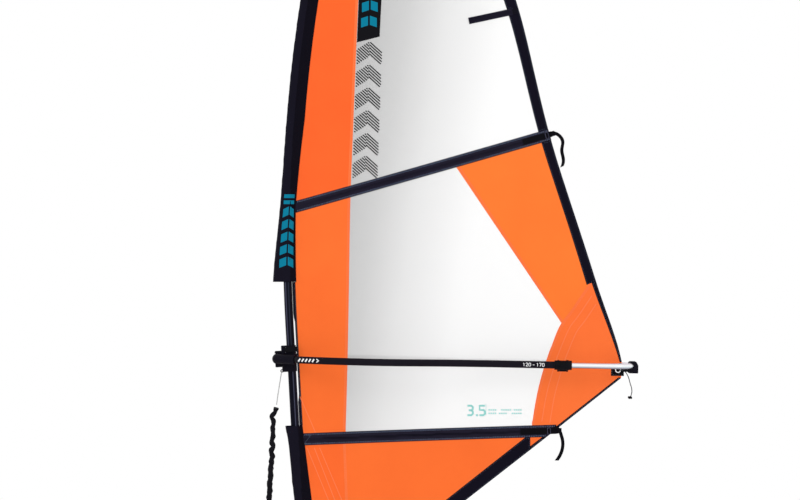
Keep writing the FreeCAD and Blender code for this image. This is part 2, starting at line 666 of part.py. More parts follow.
def wedge(x, z, run, rise):
    """The corner at (x, z) that a bevel takes off the tail fitting, along its whole width."""
    corners = [Vector(x, -60, z), Vector(x + run, -60, z), Vector(x, -60, z + rise), Vector(x, -60, z)]
    return Part.Face(Part.makePolygon(corners)).extrude(ALONG_Y * 120)


def grooved_wheel(centre, way, rim, root):
    """A small pulley with a V groove: two cones that meet at the groove's bottom."""
    low = Part.makeCone(rim, root, SHEAVE_HALF, centre - way * SHEAVE_HALF, way)
    high = Part.makeCone(root, rim, SHEAVE_HALF, centre, way)
    return low.fuse(high)


def make_tail():
    straight = TAIL_END - TAIL_BEND
    port_start = Vector(TAIL_START, -ARM_GAP, 0)
    starboard_start = Vector(TAIL_START, ARM_GAP, 0)
    starboard_bend = Vector(straight, ARM_GAP, 0)
    port_bend = Vector(straight, -ARM_GAP, 0)
    path = Part.Wire([
        Part.LineSegment(starboard_start, starboard_bend).toShape(),
        Part.Arc(starboard_bend, Vector(TAIL_END, 0, 0), port_bend).toShape(),
        Part.LineSegment(port_bend, port_start).toShape(),
    ])
    outer_ring = Part.Wire(Part.Circle(starboard_start, ALONG_X, TAIL_R).toShape())
    inner_ring = Part.Wire(Part.Circle(starboard_start, ALONG_X, TAIL_BORE).toShape())
    outer = path.makePipeShell([outer_ring], True, False)
    inner = path.makePipeShell([inner_ring], True, False)
    save("boom_tail", on_boom(outer.cut(inner)))

    fitting = block(FITTING, (-FITTING_HALF, FITTING_HALF), FITTING_HEIGHTS)
    top = FITTING_HEIGHTS[1]
    fitting = fitting.cut([wedge(FITTING[1], top, -9, -16), wedge(FITTING[0], top, 6, -6)])
    fitting = fitting.makeFillet(4, [edge for edge in fitting.Edges if edge.CenterOfMass.x > TAIL_END])
    fitting = fitting.cut(Part.makeTorus(TAIL_BEND, TAIL_R + 0.05, Vector(straight, 0, 0), ALONG_Z))
    axles = []
    for name, side in (("starboard", 1), ("port", -1)):
        centre = Vector(SHEAVE_X, side * SHEAVE_Y, SHEAVE_Z)
        slot_sides = sorted((side * 2.0, side * (SHEAVE_Y + SHEAVE_R + 1)))
        slot_heights = (SHEAVE_Z - SHEAVE_HALF - 0.6, SHEAVE_Z + SHEAVE_HALF + 0.6)
        fitting = fitting.cut(block((FITTING[0] - 4, SHEAVE_X + SHEAVE_R + 1.5), slot_sides, slot_heights))
        axles.append(cylinder(SHEAVE_PIN_R, centre - ALONG_Z * 10, centre + ALONG_Z * 7))
        bore = cylinder(SHEAVE_PIN_R + 0.05, centre - ALONG_Z * 10, centre + ALONG_Z * 10)
        wheel = grooved_wheel(centre, ALONG_Z, SHEAVE_R, SHEAVE_ROOT_R).cut(bore)
        save("outhaul_sheave_" + name, on_boom(wheel))
    save("tail_fitting", on_boom(fused([fitting] + axles)))
    hole = cylinder(CLEAT_HOLE_R, CLEAT_HOLE, CLEAT_HOLE + ALONG_X * 50)
    save("outhaul_cleat", on_boom(block(CLEAT_SPAN, CLEAT_SIDES, CLEAT_HEIGHTS).cut(hole)))


# ---- cords that the rig holds, as lists of (x, y, z)
OUTHAUL_LINE = [(1394, -4.6, 1223.1), (1372, -3.6, 1223.5), (1341.6, -2.6, 1224.4), (1341.6, 13, 1224.4),
                (1372, 6.8, 1223.5), (1394, 4.6, 1223.1)]
OUTHAUL_TAIL = [(1366, -34, 1218.6), (1372, -34, 1210.5), (1380, -34, 1195), (1386, -33, 1171),
                (1393, -33, 1150), (1395, -34, 1130), (1389, -34, 1113)]
UPHAUL_LINE = [(-110, 0, 1213), (-116, 1, 1175), (-125, 0, 1120), (-131, 0, 1075)]
UPHAUL_ROPE = [(-132, 0, 1064), (-145, 1, 1010), (-148, 2, 930), (-152, 1, 840), (-159, -1, 750),
               (-163, -2, 645), (-160, -1, 530), (-146, 1, 410), (-121, 2, 300), (-90, 1, 215),
               (-58, 0, 155)]
OUTHAUL_R = 2.0
LINE_R = 2.2
ROPE_R = 10.5


def make_cords():
    cord("outhaul_line", OUTHAUL_LINE, OUTHAUL_R)
    cord("outhaul_tail", OUTHAUL_TAIL, OUTHAUL_R)
    cord("uphaul_line", UPHAUL_LINE, LINE_R)
    cord("uphaul_rope", UPHAUL_ROPE, ROPE_R)


# ---- mast base, in the mast's own frame about the universal joint's centre
YOKE_R = 16.0
YOKE_ROOT_R = 8.0
YOKE_ROOT = 22.0
YOKE_SHOULDER = 34.0
YOKE_END = 37.7
EAR_R = 7.0
EAR_SPAN = (10.2, 15.6)
CROSS_HALF = 9.4
EXTENSION_WALL = 2.0
CUP_R = 24.0
CUP_SPAN = (38.0, 88.0)
CUP_FLOOR = 59.7                # where the extension tube stands in the cup
HOOK = Vector(-48, 0, 132)      # the ring that holds the uphaul rope's lower end
WHEEL_R = 10.0
WHEEL_ROOT_R = 8.0
WHEEL_PITCH = 8.0
AXLE_HALF = 16.0
CHEEK_PLATE = (11.6, 14.6)      # inner and outer face of a pulley block's side plate
TACK_AXLE = Vector(46, 0, 150)
SHEAVE_AXLE = Vector(47, 0, 112)


def triple_sheave(place):
    wheels = []
    for y in (-WHEEL_PITCH, 0.0, WHEEL_PITCH):
        wheels.append(grooved_wheel(place + ALONG_Y * y, ALONG_Y, WHEEL_R, WHEEL_ROOT_R))
    hub = cylinder(5, place - ALONG_Y * 11.2, place + ALONG_Y * 11.2)
    return fused(wheels + [hub]).cut(cylinder(PIN_R + 0.05, place - ALONG_Y * 20, place + ALONG_Y * 20))


def axle_at(place):
    return cylinder(PIN_R, place - ALONG_Y * AXLE_HALF, place + ALONG_Y * AXLE_HALF)


def cheek_pair(bridge, place):
    """Two side plates that hold a sheave set, with the block that joins them."""
    plates = []
    for side in (1, -1):
        inner = place + ALONG_Y * side * CHEEK_PLATE[0]
        plates.append(cylinder(12, inner, place + ALONG_Y * side * CHEEK_PLATE[1]))
    return fused(plates + [bridge])


def plate_blocks(x, z):
    """The same block in the plane of each of the two side plates."""
    near, far = CHEEK_PLATE
    return block(x, (near, far), z).fuse(block(x, (-far, -near), z))


def make_base():
    centre = Vector(0, 0, JOINT_Z)

    def local(shape):
        return placed(shape, centre, -math.degrees(LEAN))

    heel = (HEEL_Z - JOINT_Z) / math.cos(LEAN)
    rod_low = ALONG_Z * (CUP_FLOOR + 0.3)
    rod = tube(EXTENSION_R, EXTENSION_R - EXTENSION_WALL, rod_low, ALONG_Z * (heel + 300))
    save("extension_tube", local(rod))
    collar = tube(CUP_R, EXTENSION_R + 0.1, ALONG_Z * (heel - 20), ALONG_Z * (heel - 0.3))
    knob = cylinder(4, Vector(-34, 0, heel - 10), Vector(-22, 0, heel - 10))
    save("mast_collar", local(fused([collar, knob])))

    bore = local(cylinder(EXTENSION_R + 0.05, ALONG_Z * CUP_FLOOR, ALONG_Z * 100))
    cup = local(cylinder(CUP_R, ALONG_Z * CUP_SPAN[0], ALONG_Z * CUP_SPAN[1])).cut(bore)
    hook_bar = block((HOOK.x + 2, -20), (-4, 4), (HOOK.z - 10, HOOK.z + 2))
    hook = fused([hook_bar, cylinder(12, HOOK - ALONG_Y * 4, HOOK + ALONG_Y * 4)])
    hook = hook.cut(cylinder(6, HOOK - ALONG_Y * 10, HOOK + ALONG_Y * 10))
    cheeks = cheek_pair(plate_blocks((14, 48), (101, 123)), SHEAVE_AXLE)
    save("extension_cup", fused([cup, hook, cheeks, axle_at(SHEAVE_AXLE)]).cut(bore))
    save("downhaul_sheaves", triple_sheave(SHEAVE_AXLE))

    top_bar = block((40, 52.6), (-CHEEK_PLATE[1], CHEEK_PLATE[1]), (168, 180))
    cheeks = cheek_pair(plate_blocks((40, 58), (148, 180)).fuse(top_bar), TACK_AXLE)
    save("tack_block", fused([cheeks, axle_at(TACK_AXLE)]))
    save("tack_sheaves", triple_sheave(TACK_AXLE))

    save("joint_upper_yoke", local(yoke_shape(ALONG_Y, 1)))
    sides = (-CROSS_HALF, CROSS_HALF)
    cross = block(sides, sides, (-7, 7))
    cross = cross.makeChamfer(2.5, [edge for edge in cross.Edges if abs(edge.tangentAt(0).z) > 0.9])
    arms = [cylinder(PIN_R, way * -AXLE_HALF, way * AXLE_HALF) for way in (ALONG_X, ALONG_Y)]
    save("joint_cross", placed(fused([cross] + arms), centre, 0))
    neck = cylinder(SWIVEL_NECK_R, ALONG_Z * -50, ALONG_Z * -36)
    foot = cylinder(SWIVEL_FOOT_R, ALONG_Z * -53.4, ALONG_Z * -49.4)
    save("joint_lower_yoke", placed(fused([yoke_shape(ALONG_X, -1), neck, foot]), centre, 0))
    make_plate()


def yoke_shape(pin_way, up):
    """A fork with two ears that hold a pin along pin_way; up is 1 or -1. Its root clears the other fork."""
    across = ALONG_X if pin_way == ALONG_Y else ALONG_Y
    rise = YOKE_SHOULDER - YOKE_ROOT
    bevel = Part.makeCone(YOKE_ROOT_R, YOKE_R, rise, ALONG_Z * (YOKE_ROOT * up), ALONG_Z * up)
    ears = []
    for side in (1, -1):
        inner = pin_way * (side * EAR_SPAN[0])
        outer = pin_way * (side * EAR_SPAN[1])
        ears.append(cylinder(EAR_R, inner, outer))
        low = [min(inner[i], outer[i]) - EAR_R * across[i] for i in range(3)]
        high = [max(inner[i], outer[i]) + EAR_R * across[i] for i in range(3)]
        ears.append(block((low[0], high[0]), (low[1], high[1]), sorted((0, (YOKE_SHOULDER + 1) * up))))
    root = cylinder(YOKE_R, ALONG_Z * (YOKE_SHOULDER * up), ALONG_Z * (YOKE_END * up))
    shape = fused([bevel, root] + ears)
    shape = shape.common(cylinder(YOKE_R, ALONG_Z * -60, ALONG_Z * 60))
    return shape.cut(cylinder(PIN_R + 0.05, pin_way * -30, pin_way * 30))


PAD = 2.0                       # thickness of the rubber pad
PLATE_TOP = 8.0
SWIVEL_TOP = 13.0               # where the swivel's cap sits on the plate
CAP_TOP = 22.0
SWIVEL_R = 24.0
SWIVEL_FOOT_R = 13.0
SWIVEL_NECK_R = 8.0
STUD_HEAD_R = 7.0
STUD_HEAD = 6.0


def make_plate():
    save("deck_pad", tube(PLATE_R, STUD_HEAD_R + 2, ORIGIN, ALONG_Z * PAD))
    plate = cylinder(PLATE_R, ALONG_Z * PAD, ALONG_Z * PLATE_TOP)
    plate = plate.fuse(cylinder(SWIVEL_R, ALONG_Z * PLATE_TOP, ALONG_Z * SWIVEL_TOP))
    plate = plate.cut(cylinder(SWIVEL_FOOT_R + 0.3, ALONG_Z * (PLATE_TOP + 0.2), ALONG_Z * 20))
    head = cylinder(STUD_HEAD_R, ORIGIN, ALONG_Z * STUD_HEAD)
    save("base_plate", plate.removeSplitter().cut(head))
    cap = tube(SWIVEL_R, SWIVEL_NECK_R + 0.05, ALONG_Z * SWIVEL_TOP, ALONG_Z * CAP_TOP)
    rim = [edge for edge in cap.Edges if edge.BoundBox.ZMin > CAP_TOP - 1 and edge.Length > 100]
    save("swivel_cap", cap.makeFillet(2, rim))
    stud = cylinder(STUD_R, ALONG_Z * -STUD_LENGTH, ALONG_Z * 3)
    save("deck_stud", stud.fuse(head).removeSplitter())


make_mast()
make_sail()
make_sleeve("sleeve_upper", UP_STATIONS, REAR_UP, SLACK_UP)
make_sleeve("sleeve_lower", LOW_STATIONS, REAR_LOW, SLACK_LOW)
make_head()
make_boom_head()
make_boom()
make_cords()
make_base()
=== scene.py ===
"""Looks of the windsurf sail rig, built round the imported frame. Metres; X aft, Y across, Z up."""
import math

import bmesh
import bpy
import numpy as np
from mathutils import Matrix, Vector
from mathutils.bvhtree import BVHTree
from mathutils.geometry import delaunay_2d_cdt


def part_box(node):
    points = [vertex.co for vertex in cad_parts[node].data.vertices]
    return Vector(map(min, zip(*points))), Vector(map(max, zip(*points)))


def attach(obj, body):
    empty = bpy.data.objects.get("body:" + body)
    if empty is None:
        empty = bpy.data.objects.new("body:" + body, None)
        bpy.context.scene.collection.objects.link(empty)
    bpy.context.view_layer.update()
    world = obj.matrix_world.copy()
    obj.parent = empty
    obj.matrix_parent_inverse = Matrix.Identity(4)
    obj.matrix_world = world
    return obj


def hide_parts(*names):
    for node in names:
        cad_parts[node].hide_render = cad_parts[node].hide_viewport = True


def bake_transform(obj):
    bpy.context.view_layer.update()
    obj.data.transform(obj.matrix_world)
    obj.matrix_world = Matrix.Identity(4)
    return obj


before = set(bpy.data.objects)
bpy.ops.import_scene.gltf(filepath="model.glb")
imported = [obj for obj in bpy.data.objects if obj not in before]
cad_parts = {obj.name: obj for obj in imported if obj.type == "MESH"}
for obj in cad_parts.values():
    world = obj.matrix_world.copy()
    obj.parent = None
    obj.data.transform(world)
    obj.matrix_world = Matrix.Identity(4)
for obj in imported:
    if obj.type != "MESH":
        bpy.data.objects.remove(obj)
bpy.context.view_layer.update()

# ---- the sail's shape, as the frame has it
LEAN = math.atan(0.0553)         # of the straight part of the mast
JOINT_Z = 0.062                  # where the mast base bends
BEND_Z = 1.430                   # where the mast starts to bend
BEND_R = 6.800
PIVOT_Z = 1.2743                 # where the boom turns on its head
SAIL_CHORD = 1.450               # at its widest, at CHORD_Z
CHORD_Z = 1.1
CHORD_REACH = 3.1
DRAFT = 0.040                    # share of the chord, with DRAFT_EXTRA more round DRAFT_Z
DRAFT_EXTRA = 0.022
DRAFT_Z = 2.15
DRAFT_REACH = 0.6
CLOTH = 0.0012                   # thickness
CLEW = (1.338, 1.225)
TACK = (0.054, 0.169)
BEND_START_X = -math.tan(LEAN) * (BEND_Z - JOINT_Z)
BEND_CENTRE = (BEND_START_X + BEND_R * math.cos(LEAN), BEND_Z + BEND_R * math.sin(LEAN))

# ---- colours that more than one material uses, as linear values
NAVY = (0.0060, 0.0050, 0.0120)
BLACK = (0.0040, 0.0038, 0.0060)
THREAD_BLUE = (0.24, 0.31, 0.46)


def mast_x(z):
    z = np.asarray(z, float)
    straight = -math.tan(LEAN) * (z - JOINT_Z)
    bent = BEND_CENTRE[0] - np.sqrt(np.maximum(BEND_R ** 2 - (z - BEND_CENTRE[1]) ** 2, 0))
    return np.where(z < BEND_Z, straight, bent)


def sail_y(x, z):
    x, z = np.asarray(x, float), np.asarray(z, float)
    chord = SAIL_CHORD * np.sqrt(np.maximum(1 - ((z - CHORD_Z) / CHORD_REACH) ** 2, 0.01))
    along = (x - mast_x(z)) / chord
    depth = DRAFT + DRAFT_EXTRA * np.exp(-((z - DRAFT_Z) / DRAFT_REACH) ** 2)
    return 4 * depth * along * (1 - along)


def ripples(x, z):
    """Faint pull lines that fan out of the clew and the tack, and a slight pucker along the luff."""
    result = 0.0
    for (cx, cz), count, reach in ((CLEW, 15, 0.33), (TACK, 11, 0.42)):
        far = np.hypot(x - cx, z - cz)
        turn = np.arctan2(z - cz, x - cx)
        fade = np.clip(far / 0.12, 0, 1) * np.exp(-(far / reach) ** 2)
        result = result + 0.0016 * fade * np.sin(turn * count + 0.8 * np.sin(turn * 5))
    luff = np.exp(-((x - mast_x(z) - 0.05) / 0.05) ** 2)
    return result + 0.0006 * luff * np.sin(z * 62 + 2 * np.sin(z * 9))


def cloth_y(x, z):
    return sail_y(x, z) + ripples(x, z)


# ---- camera, light and floor
VIEW_CENTRE = (0.400, 1.741)
VIEW_WIDTH = 3.44
CAMERA_DISTANCE = 11.0
SENSOR = 36.0


def make_camera():
    camera = bpy.data.objects.new("camera", bpy.data.cameras.new("camera"))
    bpy.context.scene.collection.objects.link(camera)
    camera.location = (VIEW_CENTRE[0], -CAMERA_DISTANCE, VIEW_CENTRE[1])
    camera.rotation_euler = (math.pi / 2, 0, 0)
    camera.data.sensor_width = SENSOR
    camera.data.lens = SENSOR * CAMERA_DISTANCE / VIEW_WIDTH
    camera.data.clip_end = 100
    bpy.context.scene.camera = camera


def make_light():
    world = bpy.data.worlds.new("studio")
    world.use_nodes = True
    background = world.node_tree.nodes["Background"]
    background.inputs["Color"].default_value = (1, 1, 1, 1)
    background.inputs["Strength"].default_value = 1.0
    bpy.context.scene.world = world
    bpy.context.scene.view_settings.view_transform = "Standard"
    for name, place, size, power in (("key", (-2.5, -5.0, 4.5), 2.0, 34), ("fill", (3.5, -5.0, 2.5), 3.0, 8)):
        lamp = bpy.data.lights.new(name, "AREA")
        lamp.size = size
        lamp.energy = power
        light = bpy.data.objects.new(name, lamp)
        light.location = place
        aim = Vector((0.3, 0, 1.7)) - Vector(place)
        light.rotation_euler = aim.to_track_quat("-Z", "Y").to_euler()
        bpy.context.scene.collection.objects.link(light)


def make_floor():
    bm = bmesh.new()
    bmesh.ops.create_circle(bm, cap_ends=True, radius=3.2, segments=96)
    floor = new_object("floor", bm)
    floor.location = (0.4, 0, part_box("deck_stud")[0].z - 0.001)
    paint(floor, "floor_paint")


# ---- materials
DULL = 0.06          # specular level of cloth, rope and nylon


class Shader:
    """One material, with short ways to add and link its nodes."""

    def __init__(self, name, **values):
        self.material = bpy.data.materials.new(name)
        self.material.use_nodes = True
        self.nodes = self.material.node_tree.nodes
        self.coordinates = self.nodes.new("ShaderNodeTexCoord").outputs
        self.place = self.coordinates["Object"]
        self.set(**values)

    def feed(self, socket, value):
        """Sets a socket to a value, or links another socket to it."""
        if isinstance(value, bpy.types.NodeSocket):
            self.material.node_tree.links.new(value, socket)
        else:
            socket.default_value = value

    def set(self, **values):
        """Sets or links inputs of the surface itself."""
        for name, value in values.items():
            self.feed(self.nodes["Principled BSDF"].inputs[name.replace("_", " ")], value)
        return self

    def node(self, kind, output=0, **values):
        node = self.nodes.new("ShaderNode" + kind)
        for name, value in values.items():
            self.feed(node.inputs[name.replace("_", " ")], value)
        return node.outputs[output]

    def math(self, operation, a, b):
        result = self.node("Math")
        result.node.operation = operation
        for socket, value in zip(result.node.inputs, (a, b)):
            self.feed(socket, value)
        return result

    def line(self, value, slope, offset):
        return self.math("ADD", self.math("MULTIPLY", value, slope), offset)

    def noise(self, scale, detail=3.0, stretch=(1, 1, 1)):
        place = self.node("Mapping", Scale=stretch, Vector=self.place)
        return self.node("TexNoise", "Fac", Scale=scale, Detail=detail, Vector=place)

    def wave(self, scale, direction, distortion=0.0):
        result = self.node("TexWave", "Fac", Scale=scale, Distortion=distortion, Vector=self.place)
        result.node.bands_direction = direction
        return result

    def axis(self, source, letter):
        """One axis of the object's place or of the surface's normal."""
        return self.node("SeparateXYZ", letter, Vector=self.coordinates[source])

    def facing(self, letter, grain, weight):
        """How far the surface turns towards an axis, 0 to 1, with a little grain in it."""
        return self.line(grain, weight, self.line(self.axis("Normal", letter), 0.5, 0.5))

    def spread(self, factor, low, high):
        return self.node("MapRange", To_Min=low, To_Max=high, Value=factor)

    def colours(self, factor, *stops):
        result = self.node("ValToRGB", "Color", Fac=factor)
        elements = result.node.color_ramp.elements
        while len(elements) < len(stops):
            elements.new(0.5)
        for element, (position, colour) in zip(elements, stops):
            element.position = position
            element.color = (*colour, 1)
        return self.set(Base_Color=result)

    def clouds(self, factor, colour, dark, light, low=0.3, high=0.7):
        """Patches of a darker and a lighter shade of one colour."""
        return self.colours(factor, (low, shade(colour, dark)), (high, shade(colour, light)))

    def bump(self, height, strength, distance=0.0002):
        normal = self.node("Bump", "Normal", Strength=strength, Distance=distance, Height=height)
        return self.set(Normal=normal)


def shade(colour, factor):
    return tuple(min(1.0, c * factor) for c in colour)


def floor_surface(name):
    shader = Shader(name, Roughness=0.8)
    return shader.clouds(shader.noise(12), (0.88, 0.88, 0.88), 0.98, 1.02).material


def cloth_surface(name, colour, roughness, variation=0.04, weave=520.0, strength=0.25):
    """Woven cloth: fine crossed threads in the bump, soft clouds in the colour."""
    shader = Shader(name, Roughness=roughness, Specular_IOR_Level=DULL)
    shader.clouds(shader.noise(5.0, 5.0), colour, 1 - variation, 1 + variation)
    shader.set(Roughness=shader.spread(shader.noise(30.0), roughness - 0.06, roughness + 0.06))
    return shader.bump(shader.math("ADD", shader.wave(weave, "X"), shader.wave(weave, "Z")), strength).material


def film_painted_reflection_surface(name):
    """Clear film with a painted grey reflection that is strongest near the mast and fades towards the leech."""
    shader = Shader(name, Roughness=0.22, Specular_IOR_Level=0.12, Alpha=0.66)
    aft = shader.line(shader.axis("Object", "Z"), -0.16, shader.axis("Object", "X"))
    cloud = shader.math("MULTIPLY", shader.math("SUBTRACT", shader.noise(3.0), 0.5), 0.03)
    share = shader.line(shader.math("ADD", aft, cloud), 0.7, 0.3)
    # painted reflection: greys that lighten from the mast towards the leech
    painted_reflection_greys = ((0.15, 0.49), (0.29, 0.64), (0.41, 0.82), (0.57, 0.97), (0.61, 0.99), (0.80, 1.0))
    shader.colours(share, *((position, (grey,) * 3) for position, grey in painted_reflection_greys))
    return shader.bump(shader.noise(9.0, 2.0), 0.10, 0.002).material


def plastic_surface(name, colour, roughness):
    shader = Shader(name, Roughness=roughness, Specular_IOR_Level=DULL)
    worn = shader.noise(26.0, 5.0)
    shader.clouds(worn, colour, 0.85, 1.35, 0.35, 0.75)
    shader.set(Roughness=shader.spread(worn, roughness - 0.08, roughness + 0.12))
    return shader.bump(shader.noise(420.0, 2.0), 0.2).material


def metal_surface(name, colour, roughness, stretch):
    shader = Shader(name, Metallic=1.0)
    brushed = shader.noise(60.0, 6.0, stretch)
    shader.clouds(brushed, colour, 0.9, 1.05)
    shader.set(Roughness=shader.spread(brushed, roughness - 0.07, roughness + 0.1))
    return shader.bump(brushed, 0.08).material


def painted_light_tube_surface(name):
    """Polished tube lying fore and aft, with a painted highlight along its upper side and painted shade along
    its underside.
    """
    shader = Shader(name, Metallic=1.0)
    brushed = shader.noise(60.0, 6.0, (1, 12, 12))
    # painted highlight and shade: the colour follows how far the surface faces up
    shader.colours(shader.facing("Z", brushed, 0.03), (0.06, (0.20, 0.17, 0.21)), (0.20, (0.42, 0.44, 0.52)),
                   (0.42, (0.80, 0.86, 0.90)), (0.62, (0.98, 1.0, 1.0)), (0.92, (0.70, 0.64, 0.70)))
    shader.set(Roughness=shader.spread(brushed, 0.22, 0.38))
    return shader.bump(brushed, 0.08).material


def rope_surface(name, colour, scale):
    shader = Shader(name, Roughness=0.85, Specular_IOR_Level=DULL)
    shader.clouds(shader.noise(60.0, 4.0), colour, 0.75, 1.2)
    braid = shader.math("MULTIPLY", shader.wave(scale, "DIAGONAL"), shader.wave(scale, "Z"))
    return shader.bump(braid, 0.5, 0.0004).material


def carbon_painted_streak_surface(name):
    """Dark weave with a painted highlight streak, to the front above the boom, to the rear below it."""
    shader = Shader(name, Roughness=0.3, Specular_IOR_Level=0.05)
    weave = shader.wave(160.0, "DIAGONAL", 1.0)
    below = shader.math("LESS_THAN", shader.axis("Object", "Z"), PIVOT_Z)
    # painted highlight: the colour follows which way the surface faces in X, with the streak moved round the
    # mast below the boom's pivot
    turn = shader.math("SUBTRACT", shader.facing("X", weave, 0.02), shader.math("MULTIPLY", below, 0.36))
    shader.colours(turn, (0.17, (0.003, 0.003, 0.009)), (0.26, (0.070, 0.072, 0.120)),
                   (0.34, (0.004, 0.004, 0.011)), (0.52, (0.004, 0.005, 0.012)),
                   (0.61, (0.022, 0.027, 0.046)), (0.70, (0.003, 0.003, 0.008)))
    shader.set(Roughness=shader.spread(shader.noise(14.0, 5.0), 0.22, 0.4))
    return shader.bump(weave, 0.08, 0.0001).material


# ---- mesh helpers
def new_object(name, bm, smooth=True):
    mesh = bpy.data.meshes.new(name)
    bmesh.ops.recalc_face_normals(bm, faces=bm.faces)
    bm.to_mesh(mesh)
    bm.free()
    for polygon in mesh.polygons:
        polygon.use_smooth = smooth
    obj = bpy.data.objects.new(name, mesh)
    bpy.context.scene.collection.objects.link(obj)
    return obj


def paint(obj, look):
    obj.data.materials.clear()
    obj.data.materials.append(LOOKS[look])


def settle(obj, look, slot, body="rig"):
    """The usual last steps of a piece: its material and its body. Its slot is not used."""
    paint(obj, look)
    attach(obj, body)
    return obj


def flat_piece(name, bm, look, slot, body="rig"):
    return settle(new_object(name, bm, smooth=False), look, slot, body)


def outline_loops(node):
    """The closed outlines, in X and Z, of a flat CAD node's near face, largest first."""
    bm = bmesh.new()
    bm.from_mesh(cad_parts[node].data)
    bmesh.ops.remove_doubles(bm, verts=bm.verts, dist=2e-5)
    bm.normal_update()
    near = {face.index for face in bm.faces if face.normal.y < -0.5}
    links = {}
    for edge in bm.edges:
        if sum(face.index in near for face in edge.link_faces) == 1:
            a, b = edge.verts
            links.setdefault(a.index, []).append(b.index)
            links.setdefault(b.index, []).append(a.index)
    places = [(v.co.x, v.co.z) for v in bm.verts]
    bm.free()
    loops = []
    unused = set(links)
    while unused:
        here, ring = min(unused), []
        while here is not None:
            ring.append(here)
            unused.discard(here)
            here = next((i for i in links[here] if i in unused), None)
        if len(ring) > 2:
            loops.append(np.array([places[i] for i in ring]))
    return sorted(loops, key=lambda loop: -abs(signed_area(loop)))


def signed_area(loop):
    x, z = loop[:, 0], loop[:, 1]
    return 0.5 * float(np.sum(x * np.roll(z, -1) - np.roll(x, -1) * z))


def resampled(loop, spacing):
    """A closed outline with its long edges divided."""
    points = []
    for a, b in zip(loop, np.roll(loop, -1, axis=0)):
        count = max(1, int(np.ceil(np.linalg.norm(b - a) / spacing)))
        points += [a + (b - a) * i / count for i in range(count)]
    return np.array(points)


def edge_distance(points, loop):
    """Distance from each point to the nearest part of a closed outline."""
    best = np.full(len(points), np.inf)
    for a, b in zip(loop, np.roll(loop, -1, axis=0)):
        run = b - a
        length = max(float(run @ run), 1e-12)
        t = np.clip(((points - a) @ run) / length, 0, 1)
        best = np.minimum(best, np.linalg.norm(points - (a + t[:, None] * run), axis=1))
    return best


def inside(points, loop):
    x, z = points[:, 0], points[:, 1]
    result = np.zeros(len(points), bool)
    for (ax, az), (bx, bz) in zip(loop, np.roll(loop, -1, axis=0)):
        slope = (bx - ax) / (bz - az) if bz != az else 0.0
        result ^= ((az > z) != (bz > z)) & (x < ax + (z - az) * slope)
    return result


def well_inside(points, loop, margin):
    return inside(points, loop) & (edge_distance(points, loop) > margin)


def filled(loop, spacing):
    """Points and triangles that fill an outline: its own points first, then a regular grid."""
    border = resampled(loop, spacing)
    low, high = border.min(0), border.max(0)
    rows = np.arange(low[1], high[1], spacing * 0.87)
    grid = np.array([(x, z) for i, z in enumerate(rows)
                     for x in np.arange(low[0] + (spacing / 2 if i % 2 else 0.0), high[0], spacing)])
    if len(grid):
        grid = grid[well_inside(grid, border, spacing * 0.45)]
    points = np.vstack([border, grid]) if len(grid) else border
    ring = [(i, (i + 1) % len(border)) for i in range(len(border))]
    verts, _, faces, _, _, _ = delaunay_2d_cdt([Vector(p) for p in points], ring, [], 1, 1e-7)
    return np.array([(v.x, v.y) for v in verts]), [list(face) for face in faces], border


def layered(bm, loop, spacing, front, back):
    """Adds a closed piece of cloth: front(points, edge) and back(points, edge) give its Y from the sail."""
    points, faces, border = filled(loop, spacing)
    edge = edge_distance(points, border)
    base = cloth_y(points[:, 0], points[:, 1])
    near, far = [[bm.verts.new((x, y, z)) for (x, z), y in zip(points, base + side(points, edge))]
                 for side in (front, back)]
    used = {}
    for face in faces:
        bm.faces.new([near[i] for i in face])
        bm.faces.new([far[i] for i in reversed(face)])
        for pair in zip(face, face[1:] + face[:1]):
            used.setdefault(tuple(sorted(pair)), []).append(face)
    for (a, b), sides in used.items():
        if len(sides) == 1:
            bm.faces.new([near[a], near[b], far[b], far[a]])
    bmesh.ops.delete(bm, geom=[v for v in bm.verts if not v.link_faces], context="VERTS")


def cloth_piece(name, node, spacing, front, back, creased=True):
    """A closed piece of cloth on the outline of a flat CAD node, which it stands for, and its area."""
    bm = bmesh.new()
    area = 0.0
    for loop in outline_loops(node):
        layered(bm, loop, spacing, front, back)
        area += abs(signed_area(loop))
    obj = new_object(name, bm)
    if creased:
        obj.data.set_sharp_from_angle(angle=math.radians(40))
    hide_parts(node)
    return obj, area


def smooth(value):
    value = np.clip(value, 0, 1)
    return value * value * (3 - 2 * value)


def at(value):
    """The same distance from the sail everywhere."""
    return lambda points, edge: np.full(len(points), value)


def rounded(value, base, reach):
    """base at the edge, growing to value over a short reach, like a folded tape."""
    return lambda points, edge: base + (value - base) * smooth(edge / reach)


def curve_through(points, spacing):
    """Points along a smooth curve through control points, as an array with even steps."""
    control = [np.array(p, float) for p in points]
    control = [2 * control[0] - control[1]] + control + [2 * control[-1] - control[-2]]
    fine = []
    for p0, p1, p2, p3 in zip(control, control[1:], control[2:], control[3:]):
        for i in range(24):
            t = i / 24
            fine.append(0.5 * (2 * p1 + (p2 - p0) * t + (2 * p0 - 5 * p1 + 4 * p2 - p3) * t ** 2
                               + (3 * p1 - p0 - 3 * p2 + p3) * t ** 3))
    fine.append(control[-2])
    return evenly(np.array(fine), spacing)


def resized(line, count=None, spacing=None):
    """The same line with points at even steps: either a number of them, or the nearest one to a spacing."""
    steps = np.linalg.norm(np.diff(line, axis=0), axis=1)
    along = np.concatenate([[0], np.cumsum(steps)])
    wanted = np.linspace(0, along[-1], count or max(2, int(round(along[-1] / spacing)) + 1))
    return np.stack([np.interp(wanted, along, line[:, i]) for i in range(line.shape[1])], axis=1)


def evenly(line, spacing):
    return resized(np.asarray(line, float), spacing=spacing)


def line_normals(line):
    """Unit vectors across a flat line, to its left."""
    run = np.gradient(line, axis=0)
    run /= np.maximum(np.linalg.norm(run, axis=1, keepdims=True), TINY)
    return np.stack([-run[:, 1], run[:, 0]], axis=1)


def shifted(line, distance):
    return line + line_normals(line) * distance


